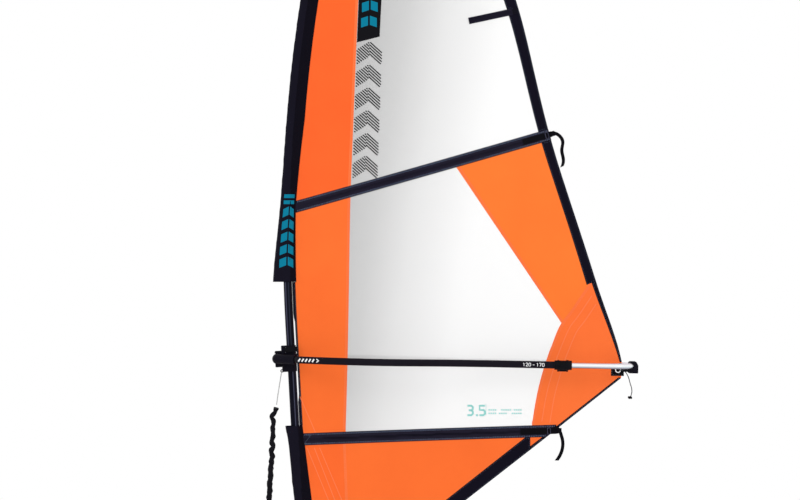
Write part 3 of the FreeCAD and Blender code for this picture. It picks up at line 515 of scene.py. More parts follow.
def inner_path(loop, inset, spacing):
    """A closed path inside an outline, at an even distance from its edge, as open runs."""
    if signed_area(loop) < 0:
        loop = loop[::-1]
    moved = shifted(evenly(np.vstack([loop, loop[:1]]), spacing), inset)
    clear = well_inside(moved, loop, inset * 0.9)
    breaks = np.flatnonzero(np.diff(clear.astype(int))) + 1
    parts = zip(np.split(moved, breaks), np.split(clear, breaks))
    return [part for part, good in parts if good[0] and len(part) > 2]


def add_spindle(bm, a, b, radius):
    """A tiny pointed stitch from a to b."""
    a, b = Vector(a), Vector(b)
    side = (b - a).normalized().cross(ALONG_Y).normalized() * radius
    out = ALONG_Y * radius
    ends = [bm.verts.new(a), bm.verts.new(b)]
    ring = [bm.verts.new((a + b) / 2 + offset) for offset in (side, out, -side, -out)]
    for first, second in zip(ring, ring[1:] + ring[:1]):
        bm.faces.new([ends[0], first, second])
        bm.faces.new([ends[1], second, first])


def add_stitches(bm, line, lift, length=0.0042, gap=0.0028, radius=0.0006):
    """Straight stitches along a line on the sail, on the near face and on the far one."""
    points = evenly(line, length + gap)
    share = length / (length + gap)
    for here, there in zip(points[:-1], points[1:]):
        end = here + (there - here) * share
        for level in (lift, CLOTH - lift):
            ya, yb = cloth_y(*here) + level, cloth_y(*end) + level
            add_spindle(bm, (here[0], ya, here[1]), (end[0], yb, end[1]), radius)


def add_strip(bm, line, width, near, far, placed):
    """A closed strip along a line, between two levels; placed(points, level) gives the places in space."""
    normals = line_normals(line)
    rows = [[bm.verts.new(place) for place in placed(line + normals * (width * side), level)]
            for side, level in ((0.5, near), (-0.5, near), (-0.5, far), (0.5, far))]
    for i in range(len(line) - 1):
        for a, b in ((0, 1), (1, 2), (2, 3), (3, 0)):
            bm.faces.new([rows[a][i], rows[a][i + 1], rows[b][i + 1], rows[b][i]])
    for i in (0, -1):
        bm.faces.new([row[i] for row in rows])


def add_ribbon(bm, line, width, near, far):
    """A closed ribbon along a line on the sail, between two distances from it."""
    def on_sail(points, level):
        return zip(points[:, 0], cloth_y(points[:, 0], points[:, 1]) + level, points[:, 1])

    add_strip(bm, line, width, near, far, on_sail)


def ribbon_piece(name, line, width, near, far, look, slot):
    bm = bmesh.new()
    add_ribbon(bm, line, width, near, far)
    flat_piece(name, bm, look, slot)


# ---- lines on the sail that seams and prints follow
WINDOW_FRONT = [(0.238, 3.130), (0.220, 2.816), (0.199, 2.300), (0.186, 1.956), (0.179, 1.526), (0.172, 1.182),
                (0.166, 0.967)]
FOOT_SEAM = [(0.166, 0.919), (0.175, 0.667), (0.184, 0.330)]
LEECH_PANEL = [(0.644, 2.104), (1.096, 1.426)]
CLEW_ARC = [(1.216, 1.600), (1.179, 1.545), (1.135, 1.479), (1.096, 1.426), (1.056, 1.334), (1.032, 1.268),
            (0.995, 1.137), (0.973, 1.014), (0.968, 0.990)]
BATTENS = {
    "1": ((0.697, 2.730), (0.884, 2.769), 0.028, 0.0034),
    "2": ((-0.080, 1.9175), (1.046, 2.239), 0.049, 0.0044),
    "3": ((-0.060, 0.925), (1.074, 0.962), 0.052, 0.0044),
}
SLEEVE_UPPER = (1.604, 3.820)
SLEEVE_LOWER = (0.240, 0.985)
REAR_UPPER = [(1.604, 0.034), (1.935, 0.034), (2.300, 0.055), (2.816, 0.057), (3.820, 0.042)]
SLACK_UPPER = [(1.604, 0.043), (1.664, 0.038), (1.724, 0.034), (1.784, 0.0265), (1.844, 0.021), (1.904, 0.0145),
               (1.965, 0.011), (2.100, 0.005), (2.200, 0.0032), (3.820, 0.0032)]
REAR_LOWER = [(0.240, 0.054), (0.668, 0.051), (0.791, 0.042), (0.894, 0.035), (0.985, 0.029)]
SLACK_LOWER = [(0.240, 0.0032), (0.667, 0.0032), (0.750, 0.008), (0.894, 0.014), (0.952, 0.019), (0.985, 0.022)]
SLEEVE_HALF = 0.0205             # half the sleeve's thickness where the mast is MAST_R
MAST_R = 0.018
TIP_R = 0.009
TAPER_Z = 2.140                  # where the mast starts to taper, to TIP_R at TIP_Z
TIP_Z = 3.856
STRANDS = 3                      # in a laid line, with LAY turns to the metre
LAY = 160.0
GROOVE = 0.12
ROPE_LENGTH = 0.9277             # of the uphaul rope, that its gathers are spaced along
LUFF_X = 0.2                     # tapes forward of it lie along the luff
TINY = 1e-9                      # below it, a length or a slope counts as none
BOX_START = 0.049                # of the stitching that closes the foot's pocket
BOX_LENGTH = 0.028
HATCH_PITCH = 0.0098
HATCH_WIDTH = 0.0050
PIVOT_X = -0.125
ALONG_Y = Vector((0, 1, 0))
BOOM_DROP = math.atan(30 / 1460)


def mast_radius(z):
    return MAST_R - (MAST_R - TIP_R) * max(0.0, z - TAPER_Z) / (TIP_Z - TAPER_Z)


def looked_up(table, z):
    return float(np.interp(z, [row[0] for row in table], [row[1] for row in table]))


def batten_frame(name):
    """A pocket's first and last middle point, the ways along and across it, its width and its depth."""
    start, end, width, depth = BATTENS[name]
    first, last = np.array(start), np.array(end)
    run = (last - first) / np.linalg.norm(last - first)
    return first, last, run, np.array([-run[1], run[0]]), width, depth


# ---- materials of the whole rig
LOOKS = {name: kind(name, *values) for kind, looks in {
    floor_surface: {"floor_paint": ()},
    film_painted_reflection_surface: {"window_film": ()},
    carbon_painted_streak_surface: {"mast_carbon": ()},
    painted_light_tube_surface: {"bright_tube": ()},
    cloth_surface: {
        "orange_top": ((1.0, 0.135, 0.025), 0.55), "orange_body": ((1.0, 0.165, 0.030), 0.55),
        "orange_light": ((1.0, 0.200, 0.032), 0.55), "orange_seam": ((0.97, 0.180, 0.050), 0.6),
        "orange_clew": ((1.0, 0.175, 0.038), 0.55), "orange_foot": ((1.0, 0.150, 0.028), 0.55),
        "orange_arc": ((1.0, 0.225, 0.085), 0.6),
        "navy_cloth": (shade(NAVY, 0.6), 0.85, 0.12, 900.0, 0.4), "navy_front": (NAVY, 0.75, 0.12, 900.0, 0.4),
        "band_cloth": ((0.0050, 0.0040, 0.0110), 0.8, 0.15, 1300.0, 0.5),
        "pocket_cloth": ((0.0140, 0.0120, 0.0250), 0.8, 0.15, 1300.0, 0.5),
        "strap_cloth": (BLACK, 0.85, 0.2, 1500.0, 0.8), "thread_grey": ((0.40, 0.41, 0.43), 0.7),
        "thread_blue": (THREAD_BLUE, 0.7), "thread_dim": (shade(THREAD_BLUE, 0.6), 0.7),
        "thread_coral": ((1.0, 0.27, 0.14), 0.7), "teal_ink": ((0.001, 0.195, 0.315), 0.6, 0.05),
        "pale_ink": ((0.30, 0.66, 0.62), 0.6, 0.05), "black_ink": (BLACK, 0.5, 0.1),
        "grey_ink": ((0.016, 0.017, 0.018), 0.5, 0.1), "white_ink": ((0.86, 0.87, 0.88), 0.5, 0.03),
        "grip": ((0.0100, 0.0085, 0.0140), 0.75, 0.2, 380.0, 0.9),
        "fibreglass": ((0.27, 0.32, 0.40), 0.35, 0.06, 700.0),
    },
    plastic_surface: {
        # the buckle's grey-blue, lighter than the other nylon, is a painted highlight
        "nylon": (BLACK, 0.42), "buckle_nylon": ((0.050, 0.050, 0.085), 0.35),
        "matt_nylon": ((0.0048, 0.0042, 0.0090), 0.6), "rubber": ((0.008, 0.008, 0.008), 0.8),
    },
    metal_surface: {
        "black_tube": ((0.020, 0.020, 0.024), 0.4, (1, 12, 12)),
        "steel_parts": ((0.72, 0.73, 0.74), 0.25, (4, 4, 1)),
        "bright_steel": ((0.95, 0.95, 0.95), 0.45, (4, 4, 1)),
    },
    rope_surface: {
        "line_braid": ((0.50, 0.50, 0.50), 700.0), "outhaul_braid": ((0.055, 0.055, 0.065), 700.0),
        "rope_cover": ((0.0075, 0.0070, 0.010), 500.0),
    },
}.items() for name, values in looks.items()}

# the nodes that are shown as the CAD has them, by material and slot
CAD_FINISH = (
    ("mast_carbon", "mast_carbon", "mast_lower mast_upper mast_ferrule"),
    ("nylon", "black_plastic", "mast_head_cap mast_collar tack_sheaves clamp_lever boom_collars clip_starboard "
     "clip_port outhaul_cleat outhaul_sheave_starboard outhaul_sheave_port downhaul_sheaves swivel_cap"),
    ("matt_nylon", "black_plastic",
     "batten_caps clamp_body clamp_jaw boom_yoke tail_fitting extension_cup base_plate"),
    ("steel_parts", "steel", "tack_block clamp_pins joint_upper_yoke joint_cross joint_lower_yoke deck_stud"),
    ("bright_steel", "steel", "clew_ring"), ("rubber", "rubber", "clamp_liner deck_pad"),
    ("black_tube", "black_aluminium", "boom_arms"), ("bright_tube", "aluminium", "boom_tail extension_tube"),
    ("grip", "grip_foam", "boom_grips"), ("fibreglass", "batten_rod", "battens"),
)
for look_name, slot_name, node_names in CAD_FINISH:
    for node_name in node_names.split():
        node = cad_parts[node_name]
        paint(node, look_name)
        if node_name != "battens":
            bevel = node.modifiers.new("soft_edges", "BEVEL")
            bevel.width = 0.003 if node_name == "boom_collars" else 0.0004
            bevel.segments = 2
            bevel.limit_method = "ANGLE"
            bevel.angle_limit = math.radians(50)

# ---- the cords
ROUTES = {
    "outhaul_line": [(1.394, -0.0046, 1.2231), (1.372, -0.0036, 1.2235), (1.3416, -0.0026, 1.2244),
                     (1.3416, 0.013, 1.2244), (1.372, 0.0068, 1.2235), (1.394, 0.0046, 1.2231)],
    "outhaul_tail": [(1.366, -0.034, 1.2186), (1.372, -0.034, 1.2105), (1.380, -0.034, 1.195),
                     (1.386, -0.033, 1.171), (1.393, -0.033, 1.150), (1.395, -0.034, 1.130),
                     (1.389, -0.034, 1.113)],
    "uphaul_line": [(-0.110, 0.0, 1.213), (-0.116, 0.001, 1.175), (-0.125, 0.0, 1.120), (-0.131, 0.0, 1.075)],
    "uphaul_rope": [(-0.132, 0.0, 1.064), (-0.145, 0.001, 1.010), (-0.148, 0.002, 0.930),
                    (-0.152, 0.001, 0.840), (-0.159, -0.001, 0.750), (-0.163, -0.002, 0.645),
                    (-0.160, -0.001, 0.530), (-0.146, 0.001, 0.410), (-0.121, 0.002, 0.300),
                    (-0.090, 0.001, 0.215), (-0.058, 0.0, 0.155)],
}
# the loop of line that ties the rope's lower end to the eye of the extension
HOOK_SIDE = [(-0.0592, 0.0010, 0.1600), (-0.0572, 0.0062, 0.1480), (-0.0545, 0.0070, 0.1380),
             (-0.0525, 0.0064, 0.1300)]
UPHAUL_HOOK = HOOK_SIDE + [(-0.0518, 0.0, 0.1262)] + [(x, -y, z) for x, y, z in reversed(HOOK_SIDE)]


def length_of(path):
    return float(np.sum(np.linalg.norm(np.diff(path, axis=0), axis=1)))


def tube_piece(name, path, radius_at, sides):
    """A closed tube of changing radius along a path; radius_at(share, angle) is in metres."""
    bm = bmesh.new()
    side = ALONG_Y.copy()
    rings = []
    for i, (place, run) in enumerate(zip(path, np.gradient(path, axis=0))):
        run = Vector(run).normalized()
        side = (side - run * side.dot(run)).normalized()
        other = run.cross(side)
        ring = []
        for angle in (2 * math.pi * k / sides for k in range(sides)):
            offset = side * math.cos(angle) + other * math.sin(angle)
            ring.append(bm.verts.new(Vector(place) + offset * radius_at(i / (len(path) - 1), angle)))
        rings.append(ring)
    for low, high in zip(rings, rings[1:]):
        for k in range(sides):
            j = (k + 1) % sides
            bm.faces.new([low[k], low[j], high[j], high[k]])
    bm.faces.new(rings[0])
    bm.faces.new(rings[-1])
    return new_object(name, bm)


def nurbs_path(points):
    """The points along a spline through a route, as Blender draws it."""
    curve = bpy.data.curves.new("route", "CURVE")
    curve.dimensions = "3D"
    spline = curve.splines.new("NURBS")
    spline.points.add(len(points) - 1)
    for point, place in zip(spline.points, points):
        point.co = (*place, 1)
    spline.order_u = 3
    spline.use_endpoint_u = True
    spline.resolution_u = 24
    holder = bpy.data.objects.new("route", curve)
    mesh = bpy.data.meshes.new_from_object(holder)
    path = np.array([vertex.co for vertex in mesh.vertices])
    bpy.data.objects.remove(holder)
    bpy.data.curves.remove(curve)
    bpy.data.meshes.remove(mesh)
    return path


def cord_piece(obj, node, look):
    paint(obj, look)
    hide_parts(node)
    return obj


def laid_line(name, node, radius, spacing, look):
    """A line of STRANDS strands on its route, a tube with a spiral groove; with its path and its length."""
    path = evenly(nurbs_path(ROUTES[node]), spacing)
    length = length_of(path)
    line = tube_piece(name, path, lambda share, angle: radius * (
        1 - GROOVE * (0.5 + 0.5 * math.cos(STRANDS * angle + share * length * LAY * 2 * math.pi))), 14)
    return cord_piece(line, node, look), path, length


def knot_piece(name, centre, size, radius):
    """An overhand knot as a closed trefoil of cord."""
    path = []
    for t in (2 * math.pi * i / 96 for i in range(97)):
        x, y = math.sin(t) + 2 * math.sin(2 * t), math.cos(t) - 2 * math.cos(2 * t)
        path.append(Vector(centre) + size / 3 * Vector((x, y, -1.4 * math.sin(3 * t))))
    return tube_piece(name, np.array(path), lambda share, angle: radius, 10)


def crinkle(share, angle):
    """Radius of the gathered cover round the elastic uphaul rope: ruffles with a loose mouth at its top."""
    along = share * ROPE_LENGTH
    wave = math.sin(along * 2 * math.pi / 0.0290 + 1.1 * math.sin(along * 31))
    fold = math.sin(3 * angle + along * 55) * math.sin(along * 2 * math.pi / 0.0195 + 2 * angle)
    ruffle = 0.0094 + 0.0024 * min(1.0, along / 0.3) + 0.0010 * wave + 0.0008 * fold
    return ruffle + 0.0014 * math.exp(-(along / 0.012) ** 2)


def rope_path():
    """The rope's route with tight waves below its mouth, a slow sway further down and a kink near the top."""
    path = evenly(nurbs_path(ROUTES["uphaul_rope"]), 0.0022)
    shares = np.linspace(0, 1, len(path))
    ends = np.clip(np.minimum(shares, 1 - shares) / 0.05, 0, 1)
    along = shares * length_of(path)
    waves = np.exp(-((along - 0.178) / 0.050) ** 4)
    sway = -0.0038 * waves * np.cos((along - 0.146) * 2 * math.pi / 0.045)
    sway += 0.0011 * (1 - waves) * ends * np.sin(along * 2 * math.pi / 0.056 + 1.2 * np.sin(shares * 11))
    sway -= 0.0110 * np.exp(-((along - 0.041) / 0.014) ** 2)
    return path + np.stack([sway, 0.6 * sway * np.cos(shares * 40), np.zeros(len(path))], axis=1)


def make_cords():
    route = ROUTES["uphaul_line"]
    line, path, length = laid_line("uphaul_lead", "uphaul_line", 0.0022, 0.0012, "line_braid")
    tuple(route[0])
    [tuple(p) for p in evenly(path, 0.006)]
    tuple(route[0])
    tuple(route[-1])
    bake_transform(line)

    route = ROUTES["uphaul_rope"]
    path = rope_path()
    rope = cord_piece(tube_piece("uphaul_cover", path, crinkle, 20), "uphaul_rope", "rope_cover")
    tuple(route[-1])
    length_of(path)
    [tuple(p) for p in path[::-1]]
    tuple(route[0])
    tuple(route[-1])
    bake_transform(rope)
    hook = tube_piece("uphaul_hook", evenly(nurbs_path(UPHAUL_HOOK), 0.0015), lambda share, angle: 0.0015, 10)
    settle(hook, "nylon", "black_plastic", "extension")

    route = ROUTES["outhaul_line"]
    line, path, length = laid_line("outhaul_run", "outhaul_line", 0.0020, 0.0010, "outhaul_braid")
    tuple(route[0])
    [tuple(p) for p in evenly(path, 0.003)]
    tuple(route[2])
    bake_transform(line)

    route = ROUTES["outhaul_tail"]
    line, path, length = laid_line("outhaul_end", "outhaul_tail", 0.0020, 0.0012, "outhaul_braid")
    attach(line, "tail")
    knot = knot_piece("outhaul_knot", Vector(route[-1]) + Vector((-0.0030, 0, -0.0045)), 0.0072, 0.0029)
    settle(knot, "rope_cover", "line_grey", "tail")
    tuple(route[0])
    [tuple(p) for p in evenly(path, 0.004)]


# ---- sleeves round the mast
def sleeve_outline(z, rear_table, slack_table):
    """Half outline of the sleeve at a height, from the rear seam on the near side round to its front."""
    centre = float(mast_x(z))
    radius = mast_radius(z)
    half = SLEEVE_HALF - (MAST_R - radius)
    front = centre - radius - looked_up(slack_table, z)
    hold = centre + 0.67 * radius
    rear = centre + looked_up(rear_table, z) + 0.0030
    seam = float(sail_y(rear, z)) + CLOTH / 2
    lip = 0.0016
    nose = front + half
    near = [(rear, seam - lip), ((rear + hold) / 2, (seam - lip - half) / 2 - 0.0006), (hold, -half)]
    near += [(hold + (nose - hold) * i / 6, -half) for i in range(1, 6)]
    for i in range(21):
        angle = -math.pi / 2 - math.pi * i / 20
        near.append((nose + half * math.cos(angle), half * math.sin(angle)))
    near += [(nose + (hold - nose) * i / 6, half) for i in range(1, 6)]
    near += [(hold, half), ((rear + hold) / 2, (seam + lip + half) / 2 + 0.0006), (rear, seam + lip)]
    return np.array(near)


def add_shell(bm, front, back):
    """A closed shell between two grids of places."""
    front, back = [[[bm.verts.new(place) for place in row] for row in grid] for grid in (front, back)]
    strips = [pair for grid in (front, back) for pair in zip(grid, grid[1:])]
    strips += [(front[i], back[i]) for i in (0, -1)]
    strips += [([row[k] for row in front], [row[k] for row in back]) for k in (0, -1)]
    for a, b in strips:
        for k in range(len(a) - 1):
            bm.faces.new([a[k], a[k + 1], b[k + 1], b[k]])


def sleeve_piece(name, node, span, rear_table, slack_table, loose_end):
    """A thin closed shell with soft folds towards its loose end; with its flat size and its outer rows."""
    low, high = span
    heights = np.linspace(low, high, int((high - low) / 0.012) + 1)
    outer, inner, area = [], [], 0.0
    for z in heights:
        ring = resized(evenly(sleeve_outline(z, rear_table, slack_table), 0.0035), 48)
        normal = -line_normals(ring)
        normal *= np.sign(np.sum((ring - ring.mean(axis=0)) * normal, axis=1).sum())
        share = np.linspace(0, 1, len(ring))
        loose = math.exp(-abs(z - loose_end) / 0.16)
        fold = (0.0004 + 0.0022 * loose) * np.sin(share * 23 + z * 21 + 1.5 * np.sin(z * 33))
        fold += 0.0005 * np.sin(z * 140 + share * 9) * (1 - loose)
        fade = np.clip(np.minimum(share, 1 - share) / 0.12, 0, 1)
        pushed = ring + normal * (np.maximum(fold, -0.0004) * fade)[:, None]
        outer.append([(p[0], p[1], z) for p in pushed])
        inner.append([(p[0], p[1], z) for p in pushed - normal * 0.0007])
        area += length_of(ring) * (high - low) / len(heights)
    bm = bmesh.new()
    add_shell(bm, outer, inner)
    obj = new_object(name, bm)
    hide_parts(node)
    settle(obj, "navy_cloth", "sleeve_cloth")
    obj.data.materials.append(LOOKS["navy_front"])
    for polygon in obj.data.polygons:
        centre = polygon.center
        if centre.x < mast_x(centre.z) + 0.016 - 0.004 * math.sin(centre.z):
            polygon.material_index = 1
    return obj, (area / (high - low), high - low), outer


# ---- the sail's panels, bands and pockets
def sheet_size(obj):
    places = np.array([v.co for v in obj.data.vertices])
    low, high = places.min(axis=0), places.max(axis=0)
    return float(high[0] - low[0]), float(high[2] - low[2])


def make_panels():
    """The cloth and film panels and their areas, by the CAD node that each stands for."""
    spacing = 0.022
    made = {}
    for node_name, look in (
        ("luff_panel_top", "orange_top"), ("luff_panel_middle", "orange_body"), ("head_panel", "orange_top"),
        ("leech_panel", "orange_light"), ("clew_panel", "orange_clew"), ("foot_panel_front", "orange_foot"),
        ("foot_panel_aft", "orange_body"), ("window_upper", "window_film"), ("window_lower", "window_film"),
    ):
        clear = look == "window_film"
        start, thick = (0.0003, 0.0006) if clear else (0.0, CLOTH)
        obj, area = cloth_piece(node_name + "_cloth", node_name, spacing, at(start), at(start + thick))
        made[node_name] = settle(obj, look, "window_film" if clear else "orange_cloth"), area
    return made


def bulge(name, side):
    """How far a pocket stands off one side of the sail, most over its batten."""
    first, _, _, across, width, depth = batten_frame(name)
    slope = width / 2 - 0.009 if width > 0.03 else 0.003

    def height(points, edge):
        inset = width / 2 - np.abs((points - first) @ across)
        return side * (0.0011 + (depth - 0.0009) * smooth(inset / slope))

    return height


def make_bands():
    """The bands, webbing and batten pockets, by the CAD node that each stands for."""
    made = {}
    for node_name, proud, reach, look, slot_name in (
        ("leech_band", 0.0009, 0.002, "band_cloth", "black_band"),
        ("foot_band", 0.0009, 0.002, "band_cloth", "black_band"),
        ("edge_tapes", 0.0009, 0.0015, "band_cloth", "black_band"),
        ("tack_webbing", 0.0018, 0.0015, "strap_cloth", "webbing"),
        ("clew_webbing", 0.0022, 0.0015, "strap_cloth", "webbing"),
    ):
        obj, _ = cloth_piece(node_name + "_cloth", node_name, 0.009, rounded(-proud, -0.0002, reach),
                             rounded(CLOTH + proud, CLOTH + 0.0002, reach))
        made[node_name] = settle(obj, look, slot_name)
    for name in BATTENS:
        node_name = "batten_pocket_" + name
        obj, _ = cloth_piece("pocket_" + name, node_name, 0.006, bulge(name, -1), bulge(name, 1))
        made[node_name] = settle(obj, "pocket_cloth", "black_band")
    return made


def pocket_lines(name, inset):
    """The two long rows of stitching of a pocket, from where it leaves the sleeve."""
    first, last, run, across, width, _ = batten_frame(name)
    table = REAR_UPPER if first[1] > BEND_Z else REAR_LOWER
    rear = float(mast_x(first[1])) + looked_up(table, first[1]) + 0.004
    if first[0] < rear:
        first = first + run * (rear - first[0]) / run[0]
    across = across * (width / 2 - inset)
    return [evenly([first + side, last - run * 0.004 + side], 0.01) for side in (across, -across)]


def trimmed_to_sail(line):
    """The part of a line that stays inside the clew panel's outline."""
    return line[well_inside(line, outline_loops("clew_panel")[0], 0.001)]


def stitched_edges(name, look, rows):
    """Stitches at an inset along the outlines whose middle lies between two places in X."""
    bm = bmesh.new()
    for node_name, inset, lift, low_x, high_x in rows:
        for loop in outline_loops(node_name):
            if low_x < loop[:, 0].mean() <= high_x:
                for run in inner_path(loop, inset, 0.006):
                    add_stitches(bm, run, lift, 0.0046, 0.0040, 0.0007)
    flat_piece(name, bm, look, "black_band")


def box_stitch(bm, name):
    """The two rows and the slanting row of stitching that close a pocket at the luff."""
    first, _, run, across, width, depth = batten_frame(name)
    across = across * (width / 2 - 0.008)
    a = first + run * BOX_START
    b = a + run * BOX_LENGTH
    for p, q in ((a + across, b + across), (a - across, b - across), (a - across, b + across)):
        add_stitches(bm, evenly([p, q], 0.004), -depth - 0.0006, radius=0.0008)


def make_stitching():
    stitched_edges("stitching_edges", "thread_grey", (("edge_tapes", 0.0028, -0.0011, -9, LUFF_X),
                                                      ("tack_webbing", 0.0035, -0.0020, -9, 9),
                                                      ("clew_webbing", 0.0035, -0.0024, -9, 9)))
    stitched_edges("stitching_bands", "thread_dim", (("leech_band", 0.0045, -0.0011, -9, 9),
                                                     ("foot_band", 0.0045, -0.0011, -9, 9),
                                                     ("edge_tapes", 0.0045, -0.0011, LUFF_X, 9)))
    bm = bmesh.new()
    for name, (_, _, _, depth) in BATTENS.items():
        outlines = outline_loops("batten_pocket_" + name)
        for inset in (0.0042, 0.0075):
            lift = -0.0012 - (depth - 0.0009) * float(smooth(inset / 0.0145)) - 0.0002
            for line in pocket_lines(name, inset):
                for outline in outlines:
                    part = line[well_inside(line, outline, 0.002)]
                    if len(part) > 2:
                        add_stitches(bm, part, lift, 0.0052, 0.0022, 0.0008)
    box_stitch(bm, "3")
    flat_piece("stitching_pockets", bm, "thread_blue", "black_band")

    bm = bmesh.new()
    for distance in (0.003, 0.009):
        for line, side in ((curve_through(WINDOW_FRONT, 0.01), -1), (curve_through(FOOT_SEAM, 0.01), -1),
                           (evenly(LEECH_PANEL, 0.01), 1)):
            add_stitches(bm, shifted(line, side * distance), -0.0001)
    for distance in (0.004, 0.010):
        add_stitches(bm, trimmed_to_sail(shifted(curve_through(CLEW_ARC, 0.01), distance)), -0.0001)
    flat_piece("stitching_panels", bm, "thread_coral", "orange_cloth")


def make_seams():
    """Overlaps between panels, a shade darker than the cloth, and the pale lines near two corners."""
    arc = curve_through(CLEW_ARC, 0.02)
    seam = (0.012, 0.0002, "orange_seam")
    pieces = [("seam_window", shifted(curve_through(WINDOW_FRONT, 0.02), -0.006), *seam),
              ("seam_clew", shifted(arc, 0.006), *seam),
              ("seam_leech", shifted(evenly(LEECH_PANEL, 0.02), 0.006), *seam)]
    for i, distance in enumerate((0.040, 0.075)):
        line = trimmed_to_sail(shifted(arc, distance))
        pieces.append((f"clew_arc_{i + 1}", line, 0.0034, 0.0007, "orange_arc"))
    pieces.append(("seam_foot", shifted(curve_through(FOOT_SEAM, 0.02), -0.006), *seam))
    for i, ends in enumerate((((0.0, 0.890), (0.135, 0.560)), ((0.031, 0.890), (0.160, 0.560)),
                              ((0.054, 0.890), (0.172, 0.610)), ((-0.030, 1.110), (0.036, 0.956)))):
        pieces.append((f"fan_line_{i + 1}", evenly(ends, 0.02), 0.0030, 0.0007, "orange_arc"))
    for name, line, width, proud, look in pieces:
        ribbon_piece(name, line, width, -proud, CLOTH + proud, look, "orange_cloth")


# ---- prints, with plain geometric marks in the places of the printed ones
def mark_pieces(name, shapes, near, far, look):
    """Flat prints with straight edges, between two distances from the sail."""
    bm = bmesh.new()
    for shape in shapes:
        layered(bm, np.array(shape, float), 0.012, at(near), at(far))
    flat_piece(name, bm, look, "window_film")


def clipped(polygon, point, direction):
    """The span of a straight line inside a convex outline, or None."""
    low, high = -10.0, 10.0
    area = signed_area(np.array(polygon))
    for a, b in zip(polygon, polygon[1:] + polygon[:1]):
        edge = np.array(b) - np.array(a)
        normal = np.array([-edge[1], edge[0]]) * (1 if area > 0 else -1)
        rate = float(normal @ direction)
        gap = float(normal @ (np.array(a) - point))
        if abs(rate) < TINY:
            if gap > 0:
                return None
        elif rate > 0:
            low = max(low, gap / rate)
        else:
            high = min(high, gap / rate)
    return (point + direction * low, point + direction * high) if high - low > 0.004 else None


def hatch(bm, polygon):
    direction = np.array([math.cos(math.radians(-42)), math.sin(math.radians(-42))])
    across = np.array([-direction[1], direction[0]])
    centre = np.array(polygon).mean(axis=0)
    for i in range(-60, 61):
        span = clipped(polygon, centre + across * HATCH_PITCH * i, direction)
        if span is not None:
            add_ribbon(bm, evenly(span, 0.03), HATCH_WIDTH, -0.0004, 0.0003)


def make_prints():
    label = [(0.2145, 2.6365), (0.312, 2.662), (0.329, 2.995), (0.229, 2.995)]
    mark_pieces("label_ground", [label], -0.0004, 0.0003, "black_ink")
    marks = []
    for i in range(4):
        lean, z = 0.004 * i, 2.700 + 0.066 * i
        for left, right, a, b in ((0.232, 0.262, 0.0, 0.010), (0.270, 0.300, 0.012, 0.002)):
            marks.append([(left + lean, z + a), (right + lean, z + b), (right + lean, z + b + 0.040),
                          (left + lean, z + a + 0.040)])
    mark_pieces("label_marks", marks, -0.0007, 0.0002, "teal_ink")

    bm = bmesh.new()
    top, bottom, blocks, rise = 2.640, 2.050, 6, 0.034
    step = (top - bottom) / blocks
    thick = step * 0.66
    for i in range(blocks):
        high = top - step * i
        left = 0.191 + (high - 2.022) * 0.036
        middle, right = left + 0.054, left + 0.108
        hatch(bm, [(left, high - rise - thick), (middle, high - thick), (middle, high), (left, high - rise)])
        hatch(bm, [(middle, high - thick), (right, high - rise - thick), (right, high - rise), (middle, high)])
    flat_piece("hatched_column", bm, "grey_ink", "window_film")

    bm = bmesh.new()
    add_number(bm, "3.5", (0.688, 1.028), 0.041, 0.0088)
    flat_piece("size_number", bm, "pale_ink", "window_film")
    bm = bmesh.new()
    add_ribbon(bm, evenly([(0.771, 1.026), (0.771, 1.077)], 0.01), 0.0016, -0.0001, 0.0004)
    for z, missing in ((1.051, (4, 5, 11)), (1.036, (4, 9, 10))):
        for x in (0.782 + 0.0091 * i for i in range(16) if i not in missing):
            add_ribbon(bm, np.array([(x, z), (x + 0.0058, z)]), 0.0062, -0.0004, 0.0004)
    flat_piece("size_rows", bm, "pale_ink", "window_film")


STROKES = {
    "0": [[(0.1, 0.2), (0.1, 0.8), (0.3, 1.0), (0.7, 1.0), (0.9, 0.8), (0.9, 0.2), (0.7, 0.0), (0.3, 0.0),
           (0.1, 0.2)]],
    "1": [[(0.25, 0.8), (0.55, 1.0), (0.55, 0.0)]],
    "2": [[(0.1, 0.85), (0.3, 1.0), (0.7, 1.0), (0.9, 0.8), (0.85, 0.6), (0.1, 0.0), (0.9, 0.0)]],
    "3": [[(0.1, 1.0), (0.7, 1.0), (0.9, 0.85), (0.9, 0.65), (0.7, 0.52), (0.3, 0.52)],
          [(0.7, 0.52), (0.9, 0.38), (0.9, 0.15), (0.7, 0.0), (0.1, 0.0)]],
    "5": [[(0.9, 1.0), (0.12, 1.0), (0.12, 0.55), (0.7, 0.55), (0.9, 0.4), (0.9, 0.15), (0.7, 0.0),
           (0.1, 0.0)]],
    "7": [[(0.1, 1.0), (0.9, 1.0), (0.4, 0.0)]],
    "-": [[(0.15, 0.45), (0.85, 0.45)]],
    ".": [[(0.42, 0.0), (0.60, 0.0)]],
}


def number_lines(text, height, ratio):
    """The strokes of a number, from its lower left corner."""
    lines = []
    x = 0.0
    for letter in text:
        if letter == " ":
            x += 0.3 * height
            continue
        wide = height * ratio * (0.45 if letter == "." else 1.0)
        lines += [[(x + a * wide, b * height) for a, b in stroke] for stroke in STROKES[letter]]
        x += wide + 0.12 * height
    return lines


def add_number(bm, text, corner, height, width):
    for line in number_lines(text, height, 0.71):
        placed = np.array([(corner[0] + a, corner[1] + b) for a, b in line])
        if len(placed) == 2 and np.linalg.norm(placed[1] - placed[0]) < width:
            placed[1] = placed[0] + np.array([width, 0])
        add_ribbon(bm, placed, width, -0.0001, 0.0004)


def boom_point(along, up):
    """X and Z of a place on the boom, which slopes down from its pivot."""
    c, s = math.cos(BOOM_DROP), math.sin(BOOM_DROP)
    return PIVOT_X + along * c + up * s, PIVOT_Z - along * s + up * c


